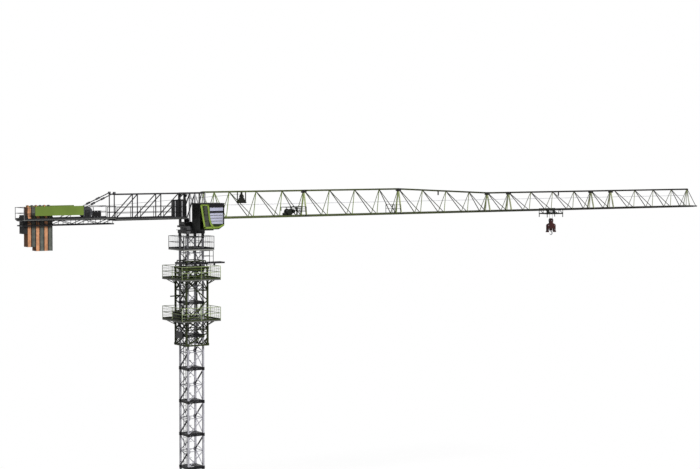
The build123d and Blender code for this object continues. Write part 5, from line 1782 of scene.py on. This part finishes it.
class CRANE_OT_hook_block(bpy.types.Operator):
    """Grooved sheave, shaped cheeks with their bolts, and the forged hook"""

    bl_idname = "crane.hook_block"
    bl_label = "Hook block"

    def execute(self, context):
        low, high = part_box("hook_block_sheave")
        middle = (low + high) / 2
        sheave = bmesh.new()
        outline = grooved_wheel(0.09, high.y - low.y, 0.027)
        add_turned(sheave, (middle.x, low.y, middle.z), ACROSS, outline, 44)
        made = piece("block_sheave_detailed", sheave, "bearing", "hook_block", True)
        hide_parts("hook_block_sheave")
        block_cheeks(middle)
        forged_hook(middle)
        return {"FINISHED"}


# The floor lies just under the feet and reaches so far that its edge is out of sight
FLOOR_REACH = 260
FLOOR_LEVEL = -0.002

# The key light comes from above, from the camera's side and a little from the jib's end
SUN_WAY = (-0.28, 0.62, -0.75)


def background_rays(tree):
    """One for rays from the camera, off gloss or through glass, which see a white background."""
    rays = put(tree, "ShaderNodeLightPath").outputs
    inputs = {0: rays["Is Camera Ray"], 1: rays["Is Glossy Ray"]}
    seen = put(tree, "ShaderNodeMath", inputs, operation="MAXIMUM")
    inputs = {0: seen, 1: rays["Is Transmission Ray"]}
    return put(tree, "ShaderNodeMath", inputs, operation="MAXIMUM")


class CRANE_OT_stage(bpy.types.Operator):
    """Floor, lights and camera"""

    bl_idname = "crane.stage"
    bl_label = "Stage"

    def execute(self, context):
        settings = context.scene.crane_stage
        scene = context.scene
        scene.view_settings.view_transform = "Standard"
        mesh = bmesh.new()
        corners = [(x * FLOOR_REACH, y * FLOOR_REACH, FLOOR_LEVEL) for x, y in CORNERS]
        mesh.faces.new([mesh.verts.new(corner) for corner in corners])
        data = bpy.data.meshes.new("studio_floor")
        mesh.to_mesh(data)
        mesh.free()
        floor = bpy.data.objects.new("studio_floor", data)
        scene.collection.objects.link(floor)
        paper = bpy.data.materials.new("pale studio floor")
        paper.use_nodes = True
        tree = paper.node_tree
        tree.nodes.clear()
        seen = background_rays(tree)
        # The floor throws little light back, so faces turned away from the sun stay dark
        tone = put(tree, "ShaderNodeMapRange", {0: seen, 1: 0.0, 2: 1.0, 3: 0.25, 4: 0.86})
        matt = put(tree, "ShaderNodeBsdfDiffuse", {"Color": tone})
        bright = put(tree, "ShaderNodeEmission", {"Color": (1, 1, 1, 1), "Strength": 1.0})
        share = put(tree, "ShaderNodeMath", {0: seen, 1: 0.88}, operation="MULTIPLY")
        mixed = put(tree, "ShaderNodeMixShader", {0: share, 1: matt, 2: bright})
        put(tree, "ShaderNodeOutputMaterial", {"Surface": mixed})
        data.materials.append(paper)

        world = bpy.data.worlds.new("even studio light")
        scene.world = world
        world.use_nodes = True
        tree = world.node_tree
        tree.nodes.clear()
        seen = background_rays(tree)
        strength = put(tree, "ShaderNodeMapRange", {0: seen, 1: 0.0, 2: 1.0, 3: settings.sky, 4: 1.0})
        light = put(tree, "ShaderNodeBackground", {"Color": (1, 1, 1, 1), "Strength": strength})
        put(tree, "ShaderNodeOutputWorld", {"Surface": light})

        lamp = bpy.data.lights.new("soft key light", "SUN")
        lamp.energy = settings.sun
        lamp.angle = math.radians(12)
        sun = bpy.data.objects.new("soft key light", lamp)
        sun.rotation_mode = "QUATERNION"
        sun.rotation_quaternion = Vector(SUN_WAY).to_track_quat("-Z", "Y")
        scene.collection.objects.link(sun)

        lens = bpy.data.cameras.new("photo camera")
        lens.lens = settings.lens
        lens.shift_y = settings.shift
        lens.clip_end = 1000
        camera = bpy.data.objects.new("photo camera", lens)
        camera.location = settings.camera
        heading, pitch = settings.heading, settings.pitch
        level = math.cos(pitch)
        look = Vector((math.sin(heading) * level, math.cos(heading) * level, -math.sin(pitch)))
        camera.rotation_mode = "QUATERNION"
        camera.rotation_quaternion = look.to_track_quat("-Z", "Y")
        scene.collection.objects.link(camera)
        scene.camera = camera
        return {"FINISHED"}


class CRANE_PT_panel(bpy.types.Panel):
    """Lists the crane's operators"""

    bl_label = "Tower crane"
    bl_idname = "CRANE_PT_panel"
    bl_space_type = "VIEW_3D"
    bl_region_type = "UI"
    bl_category = "Crane"

    def draw(self, context):
        for operator in OPERATORS:
            self.layout.operator(operator.bl_idname)


GROUPS = (
    (CraneColours, "crane_colours"),
    (MastSizes, "crane_mast"),
    (RailingSizes, "crane_railing"),
    (JibSizes, "crane_jib"),
    (MachinerySizes, "crane_machinery"),
    (StageSettings, "crane_stage"),
)

OPERATORS = (
    CRANE_OT_finishes,
    CRANE_OT_mast_joints,
    CRANE_OT_ladder,
    CRANE_OT_foundation,
    CRANE_OT_platforms,
    CRANE_OT_cage,
    CRANE_OT_loading_beam,
    CRANE_OT_slewing_unit,
    CRANE_OT_tower_head,
    CRANE_OT_jib_details,
    CRANE_OT_cab,
    CRANE_OT_cabinets,
    CRANE_OT_counter_jib,
    CRANE_OT_ballast,
    CRANE_OT_winches,
    CRANE_OT_tie_rods,
    CRANE_OT_ropes,
    CRANE_OT_trolley,
    CRANE_OT_hook_block,
    CRANE_OT_stage,
)


def register():
    for group, name in GROUPS:
        bpy.utils.register_class(group)
        setattr(bpy.types.Scene, name, bpy.props.PointerProperty(type=group))
    for operator in OPERATORS:
        bpy.utils.register_class(operator)
    bpy.utils.register_class(CRANE_PT_panel)


def unregister():
    bpy.utils.unregister_class(CRANE_PT_panel)
    for operator in reversed(OPERATORS):
        bpy.utils.unregister_class(operator)
    for group, name in reversed(GROUPS):
        delattr(bpy.types.Scene, name)
        bpy.utils.unregister_class(group)


def main():
    register()
    for operator in OPERATORS:
        group, name = operator.bl_idname.split(".")
        getattr(getattr(bpy.ops, group), name)()


if __name__ == "__main__":
    main()
